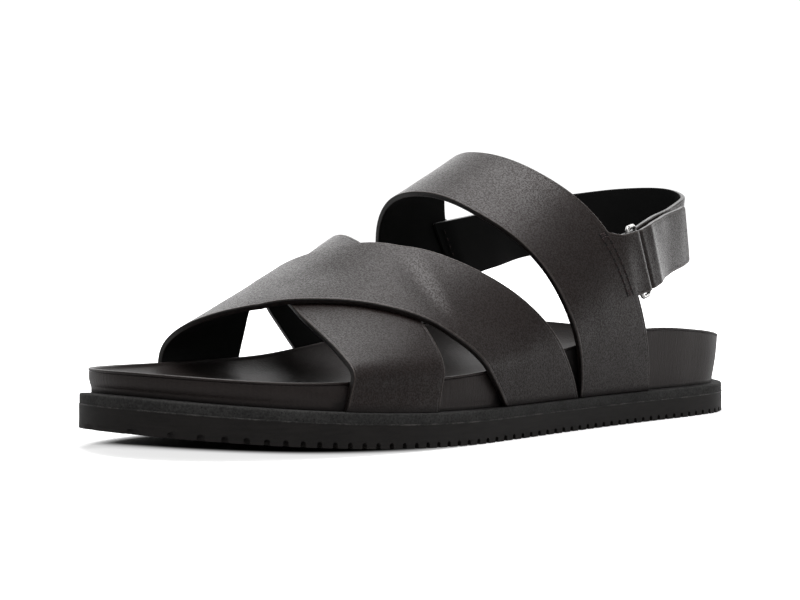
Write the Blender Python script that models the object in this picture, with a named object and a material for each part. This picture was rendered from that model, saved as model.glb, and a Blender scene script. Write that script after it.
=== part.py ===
"""Fisherman sandal, left shoe: ripple sole, wrapped footbed, crossed straps and a heel strap.

+X is the outer side of the foot, +Y runs from the toe to the heel and +Z is up. The origin is
on the floor, under the middle of the sole. Sizes are in millimetres until a mesh is made.
"""
import math

import bmesh
import bpy
import numpy as np

MM = 0.001
GAP = 0.3                   # between pieces that meet

# ------------------------------------------------------------------------ driving sizes
SOLE_LENGTH = 290.0
SOLE_DEPTH = 11.0           # outsole and midsole together, at the edge
MIDSOLE_DEPTH = 3.3
LEDGE_CROWN = 0.5           # rise of the midsole's top from its edge to the footbed
LEDGE_CROWN_WIDTH = 3.4
TOE_SPRING = 7.6            # height of the toe tip over the floor
TOE_SPRING_FROM = -27.0     # along the shoe, where the sole starts to leave the floor
TOE_SPRING_POWER = 1.8
HEEL_BEVEL = 2.6            # height of the rounded rear edge of the outsole
HEEL_BEVEL_LENGTH = 6.0
RIPPLE_PITCH = 5.1
RIPPLE_WIDTH = 2.2
RIPPLE_DEPTH = 2.0
RIPPLE_COUNT = 56
STRAP_DEPTH = 2.0           # two leathers, glued back to back
CROSSING_OVERLAP = 0.8     # the two crossed bands sink this far into each other, as one body
CROSSING_RAMP = 12.0        # length over which the upper band climbs onto the lower one
WIRE = 1.8                  # diameter of the ring's wire
RING_INSIDE_LENGTH = 24.0   # clear length between the ring's short ends
RING_TURN = 20.0            # degrees that the heel strap's end turns in from the wing
BAR_SLACK = 1.5             # the front bar lies this far before the middle of the wing's fold
HEEL_STRAP_WIDTH = 22.0
FLAP_LENGTH = 41.0          # from the ring's rear bar to the cut end
FASTENER_DEPTH = 0.75       # each of the hook and the loop pad
FASTENER_WIDTH = 19.0
FASTENER_START = 5.0        # from the ring
FASTENER_END = 39.0
CENTRE_X = -0.6             # middle of the sole on the last's own axes
CENTRE_Y = 0.0

SKIN = WIRE / 2 + GAP       # from a bar's centre to the leather that wraps it
TIP = SOLE_LENGTH / 2
HEEL_LAYERS = 2 * SKIN + STRAP_DEPTH    # between the middles of the two layers at the ring
FOLD_SPACING = 2 * (SKIN + STRAP_DEPTH) + GAP   # between the middles of the two folds


# ------------------------------------------------------------------------ tables of sizes
def smooth(knots, values, where):
    """Cubic curve through the values, straight beyond the first and the last knot."""
    steps = np.diff(knots)
    slopes = np.diff(values) / steps
    tangents = np.empty(len(knots))
    tangents[0] = slopes[0]
    tangents[-1] = slopes[-1]
    tangents[1:-1] = (slopes[:-1] * steps[1:] + slopes[1:] * steps[:-1]) / (steps[:-1] + steps[1:])
    if where <= knots[0]:
        return values[0] + tangents[0] * (where - knots[0])
    if where >= knots[-1]:
        return values[-1] + tangents[-1] * (where - knots[-1])
    i = int(np.searchsorted(knots, where)) - 1
    t = (where - knots[i]) / steps[i]
    start = (1 + 2 * t) * (1 - t) ** 2 * values[i] + t * (1 - t) ** 2 * steps[i] * tangents[i]
    end = t * t * (3 - 2 * t) * values[i + 1] - t * t * (1 - t) * steps[i] * tangents[i + 1]
    return start + end


class Table:
    """Rows of sizes with named columns; the first column says where each row is."""

    def __init__(self, columns, rows):
        self.columns = columns
        self.rows = np.array(rows, float)

    def column(self, name):
        return self.rows[:, self.columns.index(name)]

    def at(self, name, where):
        return smooth(self.rows[:, 0], self.column(name), where)


OUTLINE = Table(("along", "outer", "inner"), (
    (-138, 17.4, -29.0),
    (-118, 36.0, -44.0),
    (-75, 48.8, -50.6),
    (-45, 49.0, -48.6),
    (-15, 46.1, -41.0),
    (15, 42.6, -34.8),
    (45, 39.9, -33.2),
    (75, 38.2, -35.1),
    (100, 37.0, -36.0),
    (120, 33.8, -32.0),
    (136, 23.4, -20.0),
))
TOE_TIP_X = -6.0
HEEL_TIP_X = 1.8

# Insets are from the sole's edge, heights are over the midsole's top.
FOOTBED = Table(("along", "outer_inset", "inner_inset", "outer_rim", "inner_rim", "bed"), (
    (-145, 3.2, 3.2, 6.3, 6.3, 5.0),
    (-110, 3.6, 3.8, 7.2, 8.0, 5.4),
    (-75, 6.1, 6.0, 9.2, 11.0, 5.8),
    (-45, 3.6, 4.8, 10.2, 13.4, 6.4),
    (-15, 2.1, 2.1, 12.6, 18.0, 7.6),
    (15, 1.1, 0.8, 16.8, 21.6, 9.2),
    (45, 0.8, 0.6, 20.8, 23.0, 10.4),
    (75, 1.2, 1.2, 22.2, 22.8, 10.4),
    (105, 1.9, 1.9, 20.9, 21.2, 9.8),
    (145, 2.2, 2.2, 16.4, 16.4, 9.0),
))
WALL_INSET = 3.8

# Foot side of the straps: the widest points, the crown, and how round each side is.
LAST = Table(("along", "outer_x", "inner_x", "outer_z", "inner_z",
              "crown_x", "crown_z", "outer_round", "inner_round"), (
    (-105, 40.3, -46.7, 23.5, 18.0, -7.4, 28.2, 1.8, 2.2),
    (-75, 43.6, -45.6, 23.5, 27.6, -11.1, 41.6, 1.6, 2.5),
    (-45, 46.2, -43.5, 23.5, 36.7, -13.8, 56.3, 1.5, 2.6),
    (-15, 44.6, -40.6, 24.8, 43.1, -15.3, 72.7, 1.5, 2.7),
    (15, 42.8, -37.6, 29.4, 47.3, -16.1, 88.4, 1.7, 2.6),
    (45, 40.9, -35.0, 34.6, 50.3, -15.8, 104.5, 2.0, 2.5),
    (75, 39.1, -32.8, 39.8, 52.8, -15.0, 121.4, 2.3, 2.3),
))
LAST_FOOT_INSET = 3.4       # of the straps' foot side from the sole's edge, at the ledge

# Edges of the bands along the shoe; across runs from -1, outer ledge, over 0, the crown, to 1.
LOWER_BAND = Table(("across", "front", "rear"), (
    (-1.0, -92.3, -54.9),
    (-0.75, -87.5, -50.2),
    (-0.5, -82.0, -45.6),
    (-0.25, -75.8, -38.3),
    (0.0, -66.9, -29.7),
    (0.25, -57.4, -21.9),
    (0.5, -46.1, -13.4),
    (0.75, -33.1, -4.0),
    (1.0, -18.9, 6.4),
))
UPPER_BAND = Table(("across", "front", "rear"), (
    (-1.0, -18.7, 26.0),
    (-0.75, -39.0, 4.5),
    (-0.5, -54.9, -13.0),
    (-0.25, -67.4, -26.6),
    (0.0, -75.4, -37.8),
    (0.25, -80.2, -44.3),
    (0.5, -84.3, -49.8),
    (0.75, -88.5, -54.4),
    (1.0, -92.6, -58.9),
))
INSTEP_BAND = Table(("across", "front", "rear"), (
    (-1.0, 27.0, 71.6),
    (-0.75, 18.0, 60.0),
    (-0.5, 11.2, 45.6),
    (-0.25, 4.4, 34.6),
    (0.0, 1.8, 31.2),
    (0.25, 4.4, 36.3),
    (0.5, 8.9, 42.7),
    (0.75, 13.2, 49.0),
    (1.0, 17.6, 55.4),
))

# Wings on the instep band's rear edge, and where their ends lie along the shoe.
OUTER_WING = {"low": -0.725, "high": -0.552, "low_end": 67.6, "high_end": 63.4, "fillet": 0.04}
INNER_WING = {"low": 0.61, "high": 0.41, "low_end": 58.0, "high_end": 56.0, "fillet": 0.04}

# The outer wing's end behind the fold: distance behind the fold's middle, and lift over the last.
WING_RETURN = ((-2.8, -2.4), (-5.2, -1.1), (-7.8, -0.35), (-11.4, -0.3), (-15.0, -0.3))

# Middle of the heel strap's foot-side layer; lean is how far its top edge tips inwards.
HEEL_STRAP = Table(("step", "x", "y", "z", "lean"), (
    (0, -31.4, 40.0, 61.0, 0.09),
    (1, -34.0, 62.6, 66.0, 0.07),
    (2, -31.6, 83.2, 70.3, 0.06),
    (3, -23.5, 101.9, 72.8, 0.03),
    (4, -10.6, 116.2, 75.1, 0.0),
    (5, 4.5, 122.5, 75.2, -0.02),
    (6, 16.5, 118.3, 71.7, -0.02),
    (7, 22.2, 104.4, 67.4, 0.02),
    (8, 26.4, 87.1, 63.6, 0.06),
))


# ------------------------------------------------------------------------ sole forms
def closed_curve(points, steps):
    """Smooth closed curve through points, with this many steps from each to the next."""
    ring = np.array(points[-3:] + points + points[:3], float)
    knots = np.cumsum([0.0] + [math.dist(a, b) ** 0.75 for a, b in zip(ring, ring[1:])])
    curve = []
    for i in range(3, 3 + len(points)):
        for step in range(steps):
            where = knots[i] + (knots[i + 1] - knots[i]) * step / steps
            curve.append([smooth(knots, ring[:, 0], where), smooth(knots, ring[:, 1], where)])
    return np.array(curve)


def sole_edges():
    """The outer and the inner edge of the sole, each from the toe tip to the heel tip."""
    outer = list(zip(OUTLINE.column("outer"), OUTLINE.column("along")))
    inner = list(zip(OUTLINE.column("inner"), OUTLINE.column("along")))
    points = [(TOE_TIP_X, -TIP)] + outer + [(HEEL_TIP_X, TIP)] + inner[::-1]
    curve = closed_curve(points, 24)
    heel = 24 * (len(outer) + 1)
    outer_edge = curve[:heel + 1]
    inner_edge = np.vstack([curve[heel:], curve[:1]])[::-1]
    return {"outer": outer_edge, "inner": inner_edge}


EDGES = sole_edges()


def edge_x(side, along):
    """How far the sole reaches to a side, this far along the shoe."""
    edge = EDGES[side]
    return float(np.interp(along, edge[:, 1], edge[:, 0]))


def spring(along):
    """Height of the underside over the floor, from the toe spring."""
    reach = max(0.0, (TOE_SPRING_FROM - along) / (TOE_SPRING_FROM + TIP))
    return TOE_SPRING * reach ** TOE_SPRING_POWER


def footbed_floor(along):
    """Height of the footbed's underside, and of the straps' lower ends."""
    return SOLE_DEPTH + LEDGE_CROWN + GAP + spring(along)


LOOP_STEPS = 40             # from the toe tip to the heel tip
LOOP_SIDES = ["outer"] * (LOOP_STEPS + 1) + ["inner"] * (LOOP_STEPS - 1)


def sole_loop():
    """Points round the sole's edge: the outer side to the heel, and the inner side back."""
    along = [-TIP * math.cos(math.pi * k / LOOP_STEPS) for k in range(LOOP_STEPS + 1)]
    outer = [(edge_x("outer", y), y) for y in along]
    inner = [(edge_x("inner", y), y) for y in along[-2:0:-1]]
    return np.array(outer + inner)


SOLE_LOOP = sole_loop()


def inset_loop(insets):
    """The sole's loop moved in from the edge."""
    run = np.roll(SOLE_LOOP, -1, axis=0) - np.roll(SOLE_LOOP, 1, axis=0)
    inward = np.stack([-run[:, 1], run[:, 0]], axis=1)
    inward /= np.linalg.norm(inward, axis=1, keepdims=True)
    return SOLE_LOOP + inward * np.reshape(insets, (-1, 1))


def raised(loop, heights):
    """A loop given heights, one for all or one for each point."""
    heights = np.broadcast_to(heights, len(loop))
    return np.column_stack([loop, heights])


def cap_faces(start):
    """Faces that close a loop with strips from its outer to its inner side."""
    count = 2 * LOOP_STEPS
    faces = [(start, start + 1, start + count - 1)]
    for k in range(1, LOOP_STEPS - 1):
        faces.append((start + k, start + k + 1, start + count - k - 1, start + count - k))
    faces.append((start + LOOP_STEPS - 1, start + LOOP_STEPS, start + LOOP_STEPS + 1))
    return faces


def stacked(rows):
    """Points and faces of a solid whose skin runs through loops, closed at both ends."""
    count = 2 * LOOP_STEPS
    faces = cap_faces(0) + cap_faces((len(rows) - 1) * count)
    for r in range(len(rows) - 1):
        for k in range(count):
            after = (k + 1) % count
            faces.append((r * count + k, r * count + after,
                          (r + 1) * count + after, (r + 1) * count + k))
    return np.vstack(rows), faces


# ------------------------------------------------------------------------ scene helpers
def clear_scene():
    for old in list(bpy.data.objects):
        bpy.data.objects.remove(old)


def make_material(name, colour, roughness, metallic=0.0):
    material = bpy.data.materials.new(name)
    material.use_nodes = True
    shader = material.node_tree.nodes["Principled BSDF"]
    shader.inputs["Base Color"].default_value = (*colour, 1.0)
    shader.inputs["Roughness"].default_value = roughness
    shader.inputs["Metallic"].default_value = metallic
    return material


def add_solid(name, points, faces, material):
    """A closed mesh from points in millimetres, with its faces turned outwards."""
    points = (np.array(points) - (CENTRE_X, CENTRE_Y, 0.0)) * MM
    mesh = bpy.data.meshes.new(name)
    mesh.from_pydata([tuple(point) for point in points], [], faces)
    form = bmesh.new()
    form.from_mesh(mesh)
    loose = [vert for vert in form.verts if not vert.link_faces]
    bmesh.ops.delete(form, geom=loose, context="VERTS")
    bmesh.ops.recalc_face_normals(form, faces=form.faces)
    form.to_mesh(mesh)
    form.free()
    mesh.materials.append(material)
    mesh.shade_smooth()
    mesh.set_sharp_from_angle(angle=math.radians(35))
    solid = bpy.data.objects.new(name, mesh)
    bpy.context.scene.collection.objects.link(solid)
    return solid


class Leather:
    """A strap grown row by row: its near skin, its far skin and the faces between rows."""

    def __init__(self):
        self.near = []
        self.far = []
        self.faces = []

    def add_row(self, near_row, far_row, before=None):
        """Adds a row of points, joined to the row before, and returns its indices."""
        start = len(self.near)
        self.near += near_row
        self.far += far_row
        row = list(range(start, start + len(near_row)))
        if before:
            for i in range(len(row) - 1):
                self.faces.append((before[i], before[i + 1], row[i + 1], row[i]))
        return row

    def closed(self):
        """Points and faces of the solid between the two skins."""
        uses = {}
        for face in self.faces:
            for pair in zip(face, face[1:] + face[:1]):
                uses[frozenset(pair)] = uses.get(frozenset(pair), 0) + 1
        count = len(self.near)
        faces = self.faces + [tuple(count + corner for corner in face) for face in self.faces]
        for pair in (tuple(edge) for edge, times in uses.items() if times == 1):
            faces.append((pair[0], pair[1], count + pair[1], count + pair[0]))
        return self.near + self.far, faces


# ------------------------------------------------------------------------ sole pieces
def ripple_stations():
    """Places along the outsole, each with what the stretch after it is: land or groove."""
    first = -TIP + 1.6
    stations = [(-TIP + step, "land") for step in (0.06, 0.4, 0.9)]
    for ripple in range(RIPPLE_COUNT):
        start = first + ripple * RIPPLE_PITCH
        stations.append((start, "groove"))
        stations.append((start + RIPPLE_WIDTH, "land"))
    last = stations[-1][0]
    ends = [TIP - step for step in (2.2, 1.2, 0.5, 0.06)]
    return stations + [(end, "land") for end in ends if end > last + 0.2]


def outsole_bottom(along):
    """Height of the outsole's underside, rounded up at the very rear."""
    past = max(0.0, (along - (TIP - HEEL_BEVEL_LENGTH)) / HEEL_BEVEL_LENGTH)
    return spring(along) + HEEL_BEVEL * (1 - math.sqrt(1 - past * past))


def outsole(material):
    """Rubber with ripple grooves straight across, all the way from the toe to the heel."""
    stations = ripple_stations()
    points = []
    for along, _ in stations:
        low = outsole_bottom(along)
        heights = (low, low + RIPPLE_DEPTH, SOLE_DEPTH - MIDSOLE_DEPTH + spring(along))
        for side in ("outer", "inner"):
            points += [(edge_x(side, along), along, height) for height in heights]

    def corner(station, side, level):
        return station * 6 + ("outer", "inner").index(side) * 3 + ("low", "cut", "top").index(level)

    faces = []
    for end in (0, len(stations) - 1):
        faces.append([corner(end, "outer", "top"), corner(end, "inner", "top"),
                      corner(end, "inner", "low"), corner(end, "outer", "low")])
    for k in range(len(stations) - 1):
        groove = stations[k][1] == "groove"
        level = "cut" if groove else "low"
        faces.append([corner(k, "outer", "top"), corner(k + 1, "outer", "top"),
                      corner(k + 1, "inner", "top"), corner(k, "inner", "top")])
        faces.append([corner(k, "outer", level), corner(k + 1, "outer", level),
                      corner(k + 1, "inner", level), corner(k, "inner", level)])
        for side in ("outer", "inner"):
            wall = [corner(k, side, "top"), corner(k + 1, side, "top")]
            if not groove and stations[k + 1][1] == "groove":
                wall.append(corner(k + 1, side, "cut"))
            wall += [corner(k + 1, side, level), corner(k, side, level)]
            if not groove and k > 0 and stations[k - 1][1] == "groove":
                wall.append(corner(k, side, "cut"))
            faces.append(wall)
        if groove != (stations[k + 1][1] == "groove"):
            faces.append([corner(k + 1, "outer", "cut"), corner(k + 1, "inner", "cut"),
                          corner(k + 1, "inner", "low"), corner(k + 1, "outer", "low")])
    return add_solid("outsole", points, faces, material)


def midsole(material):
    """Thin top layer of the sole, with a ledge that rises a little to the footbed."""
    rise = np.array([spring(y) for y in SOLE_LOOP[:, 1]])
    rows = [
        raised(SOLE_LOOP, rise + SOLE_DEPTH - MIDSOLE_DEPTH + GAP),
        raised(SOLE_LOOP, rise + SOLE_DEPTH),
        raised(inset_loop(LEDGE_CROWN_WIDTH), rise + SOLE_DEPTH + LEDGE_CROWN),
    ]
    return add_solid("midsole", *stacked(rows), material)


def footbed(material):
    """Insole with a raised rim, a heel cup and an arch, wrapped in leather."""
    floor = np.array([footbed_floor(y) for y in SOLE_LOOP[:, 1]])
    insets = []
    rims = []
    for side, along in zip(LOOP_SIDES, SOLE_LOOP[:, 1]):
        insets.append(FOOTBED.at(side + "_inset", along))
        rims.append(FOOTBED.at(side + "_rim", along))
    insets = np.array(insets)
    rims = np.array(rims)
    beds = np.array([FOOTBED.at("bed", y) for y in SOLE_LOOP[:, 1]])
    rows = [raised(inset_loop(WALL_INSET), floor)]
    for inward, down in ((0.0, 1.2), (0.35, 0.35), (1.2, 0.0), (2.2, 0.3)):
        rows.append(raised(inset_loop(insets + inward), floor + rims - down))
    lip = inset_loop(insets + 2.2)
    spine_along = SOLE_LOOP[:, 1] * 0.76
    spine_x = [(edge_x("outer", y) + edge_x("inner", y)) / 2 for y in spine_along]
    spine = np.column_stack([spine_x, spine_along])
    for reach in (0.86, 0.7, 0.5, 0.28, 0.1):
        loop = spine + (lip - spine) * reach
        loop_floor = np.array([footbed_floor(y) for y in loop[:, 1]])
        dish = beds + (rims - 0.3 - beds) * reach ** 2.6
        rows.append(raised(loop, loop_floor + dish))
    return add_solid("footbed", *stacked(rows), material)


# ------------------------------------------------------------------------ the last
def last_side(along, side):
    """One side of the last's cross-section, from the ledge to the crown, with run fractions."""
    away = 1 if side == "outer" else -1
    foot_x = edge_x(side, along) - away * LAST_FOOT_INSET
    foot_z = footbed_floor(along)
    wide_x = LAST.at(side + "_x", along)
    wide_z = LAST.at(side + "_z", along)
    power = 2 / LAST.at(side + "_round", along)
    crown_x = LAST.at("crown_x", along)
    crown_z = LAST.at("crown_z", along)
    points = []
    for rise in np.linspace(0, 1, 10, endpoint=False):
        points.append((foot_x + (wide_x - foot_x) * (1 - (1 - rise) ** 2),
                       foot_z + (wide_z - foot_z) * rise))
    for turn in np.linspace(0, 1, 32):
        quarter = math.pi / 2 * turn
        flat = power + (1 - power) * turn ** 3
        points.append((crown_x + (wide_x - crown_x) * max(math.cos(quarter), 0) ** flat,
                       wide_z + (crown_z - wide_z) * math.sin(quarter) ** power))
    points = np.array(points)
    run = np.append(0.0, np.cumsum(np.hypot(*np.diff(points, axis=0).T)))
    return points[:, 0], points[:, 1], run / run[-1]


def last_point(across, along):
    """Point on the last; across is -1 at the outer ledge, 0 at the crown, 1 at the inner."""
    x, z, run = last_side(along, "outer" if across < 0 else "inner")
    up = 1 - abs(across)
    return np.array([np.interp(up, run, x), along, np.interp(up, run, z)])


def on_last(across, along, lift=0.0):
    """Point over the last's surface by a lift."""
    step = 0.02
    low = max(across - step, -1)
    high = min(across + step, 1)
    over = last_point(high, along) - last_point(low, along)
    back = last_point(across, along + 1) - last_point(across, along - 1)
    out = np.cross(back, over)
    if abs(across) == 1:
        out[2] = 0.0
    return last_point(across, along) + out * lift / np.linalg.norm(out)


def unit(vector):
    return vector / np.linalg.norm(vector)


def ease(part):
    """0 to 1 with a soft start and end."""
    part = min(max(part, 0.0), 1.0)
    return part * part * (3 - 2 * part)


def grow_band(leather, band, stations, columns, lift):
    """Adds a band to a strap, a row for each station across the last; returns the rows."""
    rows = []
    for across in stations:
        front = band.at("front", across)
        rear = band.at("rear", across)
        places = [front + (rear - front) * c / (columns - 1) for c in range(columns)]
        lifts = [lift(across, along) for along in places]
        near = [on_last(across, along, up) for along, up in zip(places, lifts)]
        far = [on_last(across, along, up + STRAP_DEPTH) for along, up in zip(places, lifts)]
        rows.append(leather.add_row(near, far, rows[-1] if rows else None))
    return rows


# ------------------------------------------------------------------------ crossed bands
def no_lift(across, along):
    return 0.0


def crossing_lift(across, along):
    """How high the upper band lies over the last, to pass over the lower band."""
    outside = max(LOWER_BAND.at("front", across) - along, along - LOWER_BAND.at("rear", across))
    return (STRAP_DEPTH - CROSSING_OVERLAP) * ease(1 - outside / CROSSING_RAMP)


def cross_straps(material):
    """Two bands over the forefoot, joined where they cross."""
    bands = []
    for name, band, lift, count, columns in (
            ("cross_straps", UPPER_BAND, crossing_lift, 39, 8),
            ("lower_band", LOWER_BAND, no_lift, 37, 9)):
        leather = Leather()
        grow_band(leather, band, np.linspace(-1, 1, count), columns, lift)
        bands.append(add_solid(name, *leather.closed(), material))
    upper, lower = bands
    join = upper.modifiers.new("Join", "BOOLEAN")
    join.operation = "UNION"
    join.object = lower
    lower.hide_render = True
    lower.display_type = "WIRE"
    return upper


# ------------------------------------------------------------------------ ring and wings
def wing_end(wing, part):
    """Place on the last at a wing's end; part is 0 at its low edge and 1 at its high edge."""
    across = wing["low"] + (wing["high"] - wing["low"]) * part
    along = wing["low_end"] + (wing["high_end"] - wing["low_end"]) * part
    return across, along


class Frame:
    """Axes at the ring: up along its bars, back to the heel, out from the foot.

    The wing's fold has back and out; the ring lies turned to it, with ring_back and ring_out.
    """

    def __init__(self):
        self.low = on_last(*wing_end(OUTER_WING, 0))
        self.high = on_last(*wing_end(OUTER_WING, 1))
        middle = wing_end(OUTER_WING, 0.5)
        normal = on_last(*middle, 1) - on_last(*middle)
        self.up = unit(self.high - self.low)
        self.out = unit(normal - self.up * np.dot(normal, self.up))
        self.back = np.cross(self.up, self.out)
        turn = math.radians(RING_TURN)
        towards_heel = self.back * math.cos(turn) - self.out * math.sin(turn)
        fold = (self.low + self.high) / 2 - self.out * SKIN
        self.front_bar = fold - self.back * BAR_SLACK
        self.rear_bar = fold + towards_heel * FOLD_SPACING
        self.ring_back = unit(self.rear_bar - self.front_bar)
        self.ring_out = np.cross(self.ring_back, self.up)


RING = Frame()


def ring(material):
    """Rectangular loop of wire with rounded corners."""
    corner = 2.0
    half_length = (RING_INSIDE_LENGTH + WIRE) / 2 - corner
    half_width = math.dist(RING.front_bar, RING.rear_bar) / 2 - corner
    middle = (RING.front_bar + RING.rear_bar) / 2
    path = []
    for quarter, (side, end) in enumerate(((1, 1), (-1, 1), (-1, -1), (1, -1))):
        for step in range(5):
            turn = math.pi / 2 * (quarter + step / 4)
            path.append((side * half_width + corner * math.cos(turn),
                         end * half_length + corner * math.sin(turn), turn))
    points = []
    for back, up, turn in path:
        centre = middle + RING.ring_back * back + RING.up * up
        away = RING.ring_back * math.cos(turn) + RING.up * math.sin(turn)
        for side in range(8):
            angle = math.pi / 4 * (side + 0.5)
            round_wire = away * math.cos(angle) + RING.ring_out * math.sin(angle)
            points.append(centre + round_wire * WIRE / 2)
    faces = []
    for i in range(len(path)):
        after = (i + 1) % len(path)
        for side in range(8):
            beside = (side + 1) % 8
            faces.append((i * 8 + side, i * 8 + beside, after * 8 + beside, after * 8 + side))
    return add_solid("ring", points, faces, material)


def wing_point(across, part, back, lift):
    """Point of the outer wing; back is how far behind the fold's middle, below zero here."""
    _, end = wing_end(OUTER_WING, part)
    on_band = on_last(across, end + back, lift)
    flat = RING.low + (RING.high - RING.low) * part + RING.back * back + RING.out * lift
    return on_band + (flat - on_band) * ease((back + 11) / 9)


WING_STEPS = 5


def wing_starts(wing):
    """Stations across the band where a wing starts, widened by the fillet at its high edge."""
    fillet = math.copysign(wing["fillet"], wing["low"])
    return np.linspace(wing["low"], wing["high"] - fillet, WING_STEPS + 1)


def wing_places(wing, reach):
    """Across and along for each column of a wing; reach is 0 at the band and 1 at its end."""
    fillet = math.copysign(wing["fillet"], wing["low"]) * (1 - min(reach / 0.8, 1)) ** 2
    places = []
    for step, start in enumerate(wing_starts(wing)):
        part = step / WING_STEPS
        across = wing["low"] + (wing["high"] - fillet - wing["low"]) * part
        rear = INSTEP_BAND.at("rear", start)
        end = wing_end(wing, part)[1]
        places.append((across, rear + (end - rear) * reach))
    return places


def ring_row(part_count, back, out):
    """Row of points round the fold's middle, given by its distances behind it and out from it."""
    shift = RING.back * back + RING.out * (out - SKIN)
    return [RING.low + (RING.high - RING.low) * step / part_count + shift
            for step in range(part_count + 1)]


def grow_inner_wing(leather, row):
    """Short wing on the inner side, flat on the last, to which the heel strap is sewn."""
    for reach in (0.25, 0.5, 0.75, 1.0):
        places = wing_places(INNER_WING, reach)
        near = [on_last(across, along) for across, along in places]
        far = [on_last(across, along, STRAP_DEPTH) for across, along in places]
        row = leather.add_row(near, far, row)


def grow_outer_wing(leather, row):
    """Wing on the outer side, folded inwards round the ring's front bar and sewn to itself."""
    parts = [step / WING_STEPS for step in range(WING_STEPS + 1)]
    for reach in (0.2, 0.4, 0.6, 0.8, 1.0):
        near = []
        far = []
        for part, (across, along) in zip(parts, wing_places(OUTER_WING, reach)):
            back = along - wing_end(OUTER_WING, part)[1]
            near.append(wing_point(across, part, back, 0.0))
            far.append(wing_point(across, part, back, STRAP_DEPTH))
        row = leather.add_row(near, far, row)
    for turn in np.linspace(0, math.pi, 7)[1:]:
        skins = [ring_row(WING_STEPS, radius * math.sin(turn), radius * math.cos(turn))
                 for radius in (SKIN, SKIN + STRAP_DEPTH)]
        row = leather.add_row(*skins, row)
    for back, lift in WING_RETURN:
        skins = []
        for depth in (lift, lift - STRAP_DEPTH):
            skins.append([wing_point(wing_end(OUTER_WING, part)[0], part, back, depth)
                          for part in parts])
        row = leather.add_row(*skins, row)


def instep_strap(material):
    """Band over the instep; its inner wing holds the heel strap, its outer wing the ring."""
    outer = wing_starts(OUTER_WING)
    inner = wing_starts(INNER_WING)[::-1]
    stations = np.concatenate([
        np.linspace(-1, outer[0], 9)[:-1], outer,
        np.linspace(outer[-1], inner[0], 19)[1:-1], inner,
        np.linspace(inner[-1], 1, 9)[1:]])
    leather = Leather()
    rows = grow_band(leather, INSTEP_BAND, stations, 7, no_lift)
    rear = [row[-1] for row in rows]
    grow_outer_wing(leather, rear[8:8 + len(outer)])
    inner_start = 8 + len(outer) + 17
    grow_inner_wing(leather, rear[inner_start:inner_start + len(inner)][::-1])
    return add_solid("instep_strap", *leather.closed(), material)


# ------------------------------------------------------------------------ heel strap
class HeelRun:
    """The heel strap's foot-side layer, from the inner wing round the heel to the ring."""

    def __init__(self):
        rows = HEEL_STRAP.rows
        end = RING.rear_bar - RING.ring_out * (SKIN + STRAP_DEPTH / 2)
        self.knots = np.append(rows[:, 0], rows[-1, 0] + 1)
        self.middle = np.vstack([rows[:, 1:4], end])
        self.lean = np.append(rows[:, 4], rows[-1, 4])

    def centre(self, step):
        return np.array([smooth(self.knots, self.middle[:, axis], step) for axis in range(3)])

    def axes(self, step):
        """Directions up across the strap and out from the foot."""
        run = unit(self.centre(step + 0.02) - self.centre(step - 0.02))
        out = unit(np.cross((0.0, 0.0, 1.0), run))
        up = np.array([0.0, 0.0, 1.0]) - out * smooth(self.knots, self.lean, step)
        near_ring = ease(step - self.knots[-2])
        up = unit(up) * (1 - near_ring) + RING.up * near_ring
        up = unit(up - run * np.dot(up, run) * (1 - near_ring))
        out = unit(np.cross(up, run)) * (1 - near_ring) + RING.ring_out * near_ring
        return up, unit(out)

    def row(self, step, out_from_middle, width=HEEL_STRAP_WIDTH, columns=4):
        """Points across the strap at a step, this far out from the layer's middle."""
        up, out = self.axes(step)
        start = self.centre(step) + out * out_from_middle
        return [start + up * width * (c / (columns - 1) - 0.5) for c in range(columns)]

    def step_back(self, length):
        """The step at which the strap is this long, measured back from the ring."""
        steps = np.linspace(self.knots[-1], self.knots[0], 361)
        centres = np.array([self.centre(step) for step in steps])
        runs = np.append(0.0, np.cumsum(np.linalg.norm(np.diff(centres, axis=0), axis=1)))
        return float(np.interp(length, runs, steps))


RUN = HeelRun()


def under_wing(points, step, lift):
    """Moves the strap's first stretch against the foot side of the instep strap's inner wing."""
    moved = []
    for point in points:
        x, z, _ = last_side(point[1], "inner")
        beside = np.interp(point[2], z, x) - lift
        part = ease(step - 0.9)
        moved.append(np.array([beside + (point[0] - beside) * part, point[1], point[2]]))
    return moved


def heel_strap(material):
    """Strap round the heel, through the ring and folded back on itself as a flap."""
    half = STRAP_DEPTH / 2
    leather = Leather()
    row = None
    for step in np.linspace(RUN.knots[0], RUN.knots[-1], 37):
        near = under_wing(RUN.row(step, half), step, -GAP - 0.1)
        far = under_wing(RUN.row(step, -half), step, -GAP - 0.1 - STRAP_DEPTH)
        row = leather.add_row(near, far, row)
    up_steps = np.linspace(-0.5, 0.5, 4) * HEEL_STRAP_WIDTH
    for turn in np.linspace(0, math.pi, 8)[1:-1]:
        skins = []
        for radius in (SKIN, SKIN + STRAP_DEPTH):
            away = RING.ring_back * math.sin(turn) + RING.ring_out * math.cos(turn)
            skins.append([RING.rear_bar - away * radius + RING.up * up for up in up_steps])
        row = leather.add_row(*skins, row)
    flap = HEEL_LAYERS - half
    for step in np.linspace(RUN.knots[-1], RUN.step_back(FLAP_LENGTH), 11):
        row = leather.add_row(RUN.row(step, flap), RUN.row(step, flap + STRAP_DEPTH), row)
    return add_solid("heel_strap", *leather.closed(), material)


def fastener_pad(name, out_from_middle, material):
    """One pad of the hook-and-loop fastener between the heel strap's two layers."""
    leather = Leather()
    row = None
    for step in np.linspace(RUN.step_back(FASTENER_START), RUN.step_back(FASTENER_END), 9):
        row = leather.add_row(RUN.row(step, out_from_middle, FASTENER_WIDTH),
                              RUN.row(step, out_from_middle + FASTENER_DEPTH, FASTENER_WIDTH), row)
    return add_solid(name, *leather.closed(), material)


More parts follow.
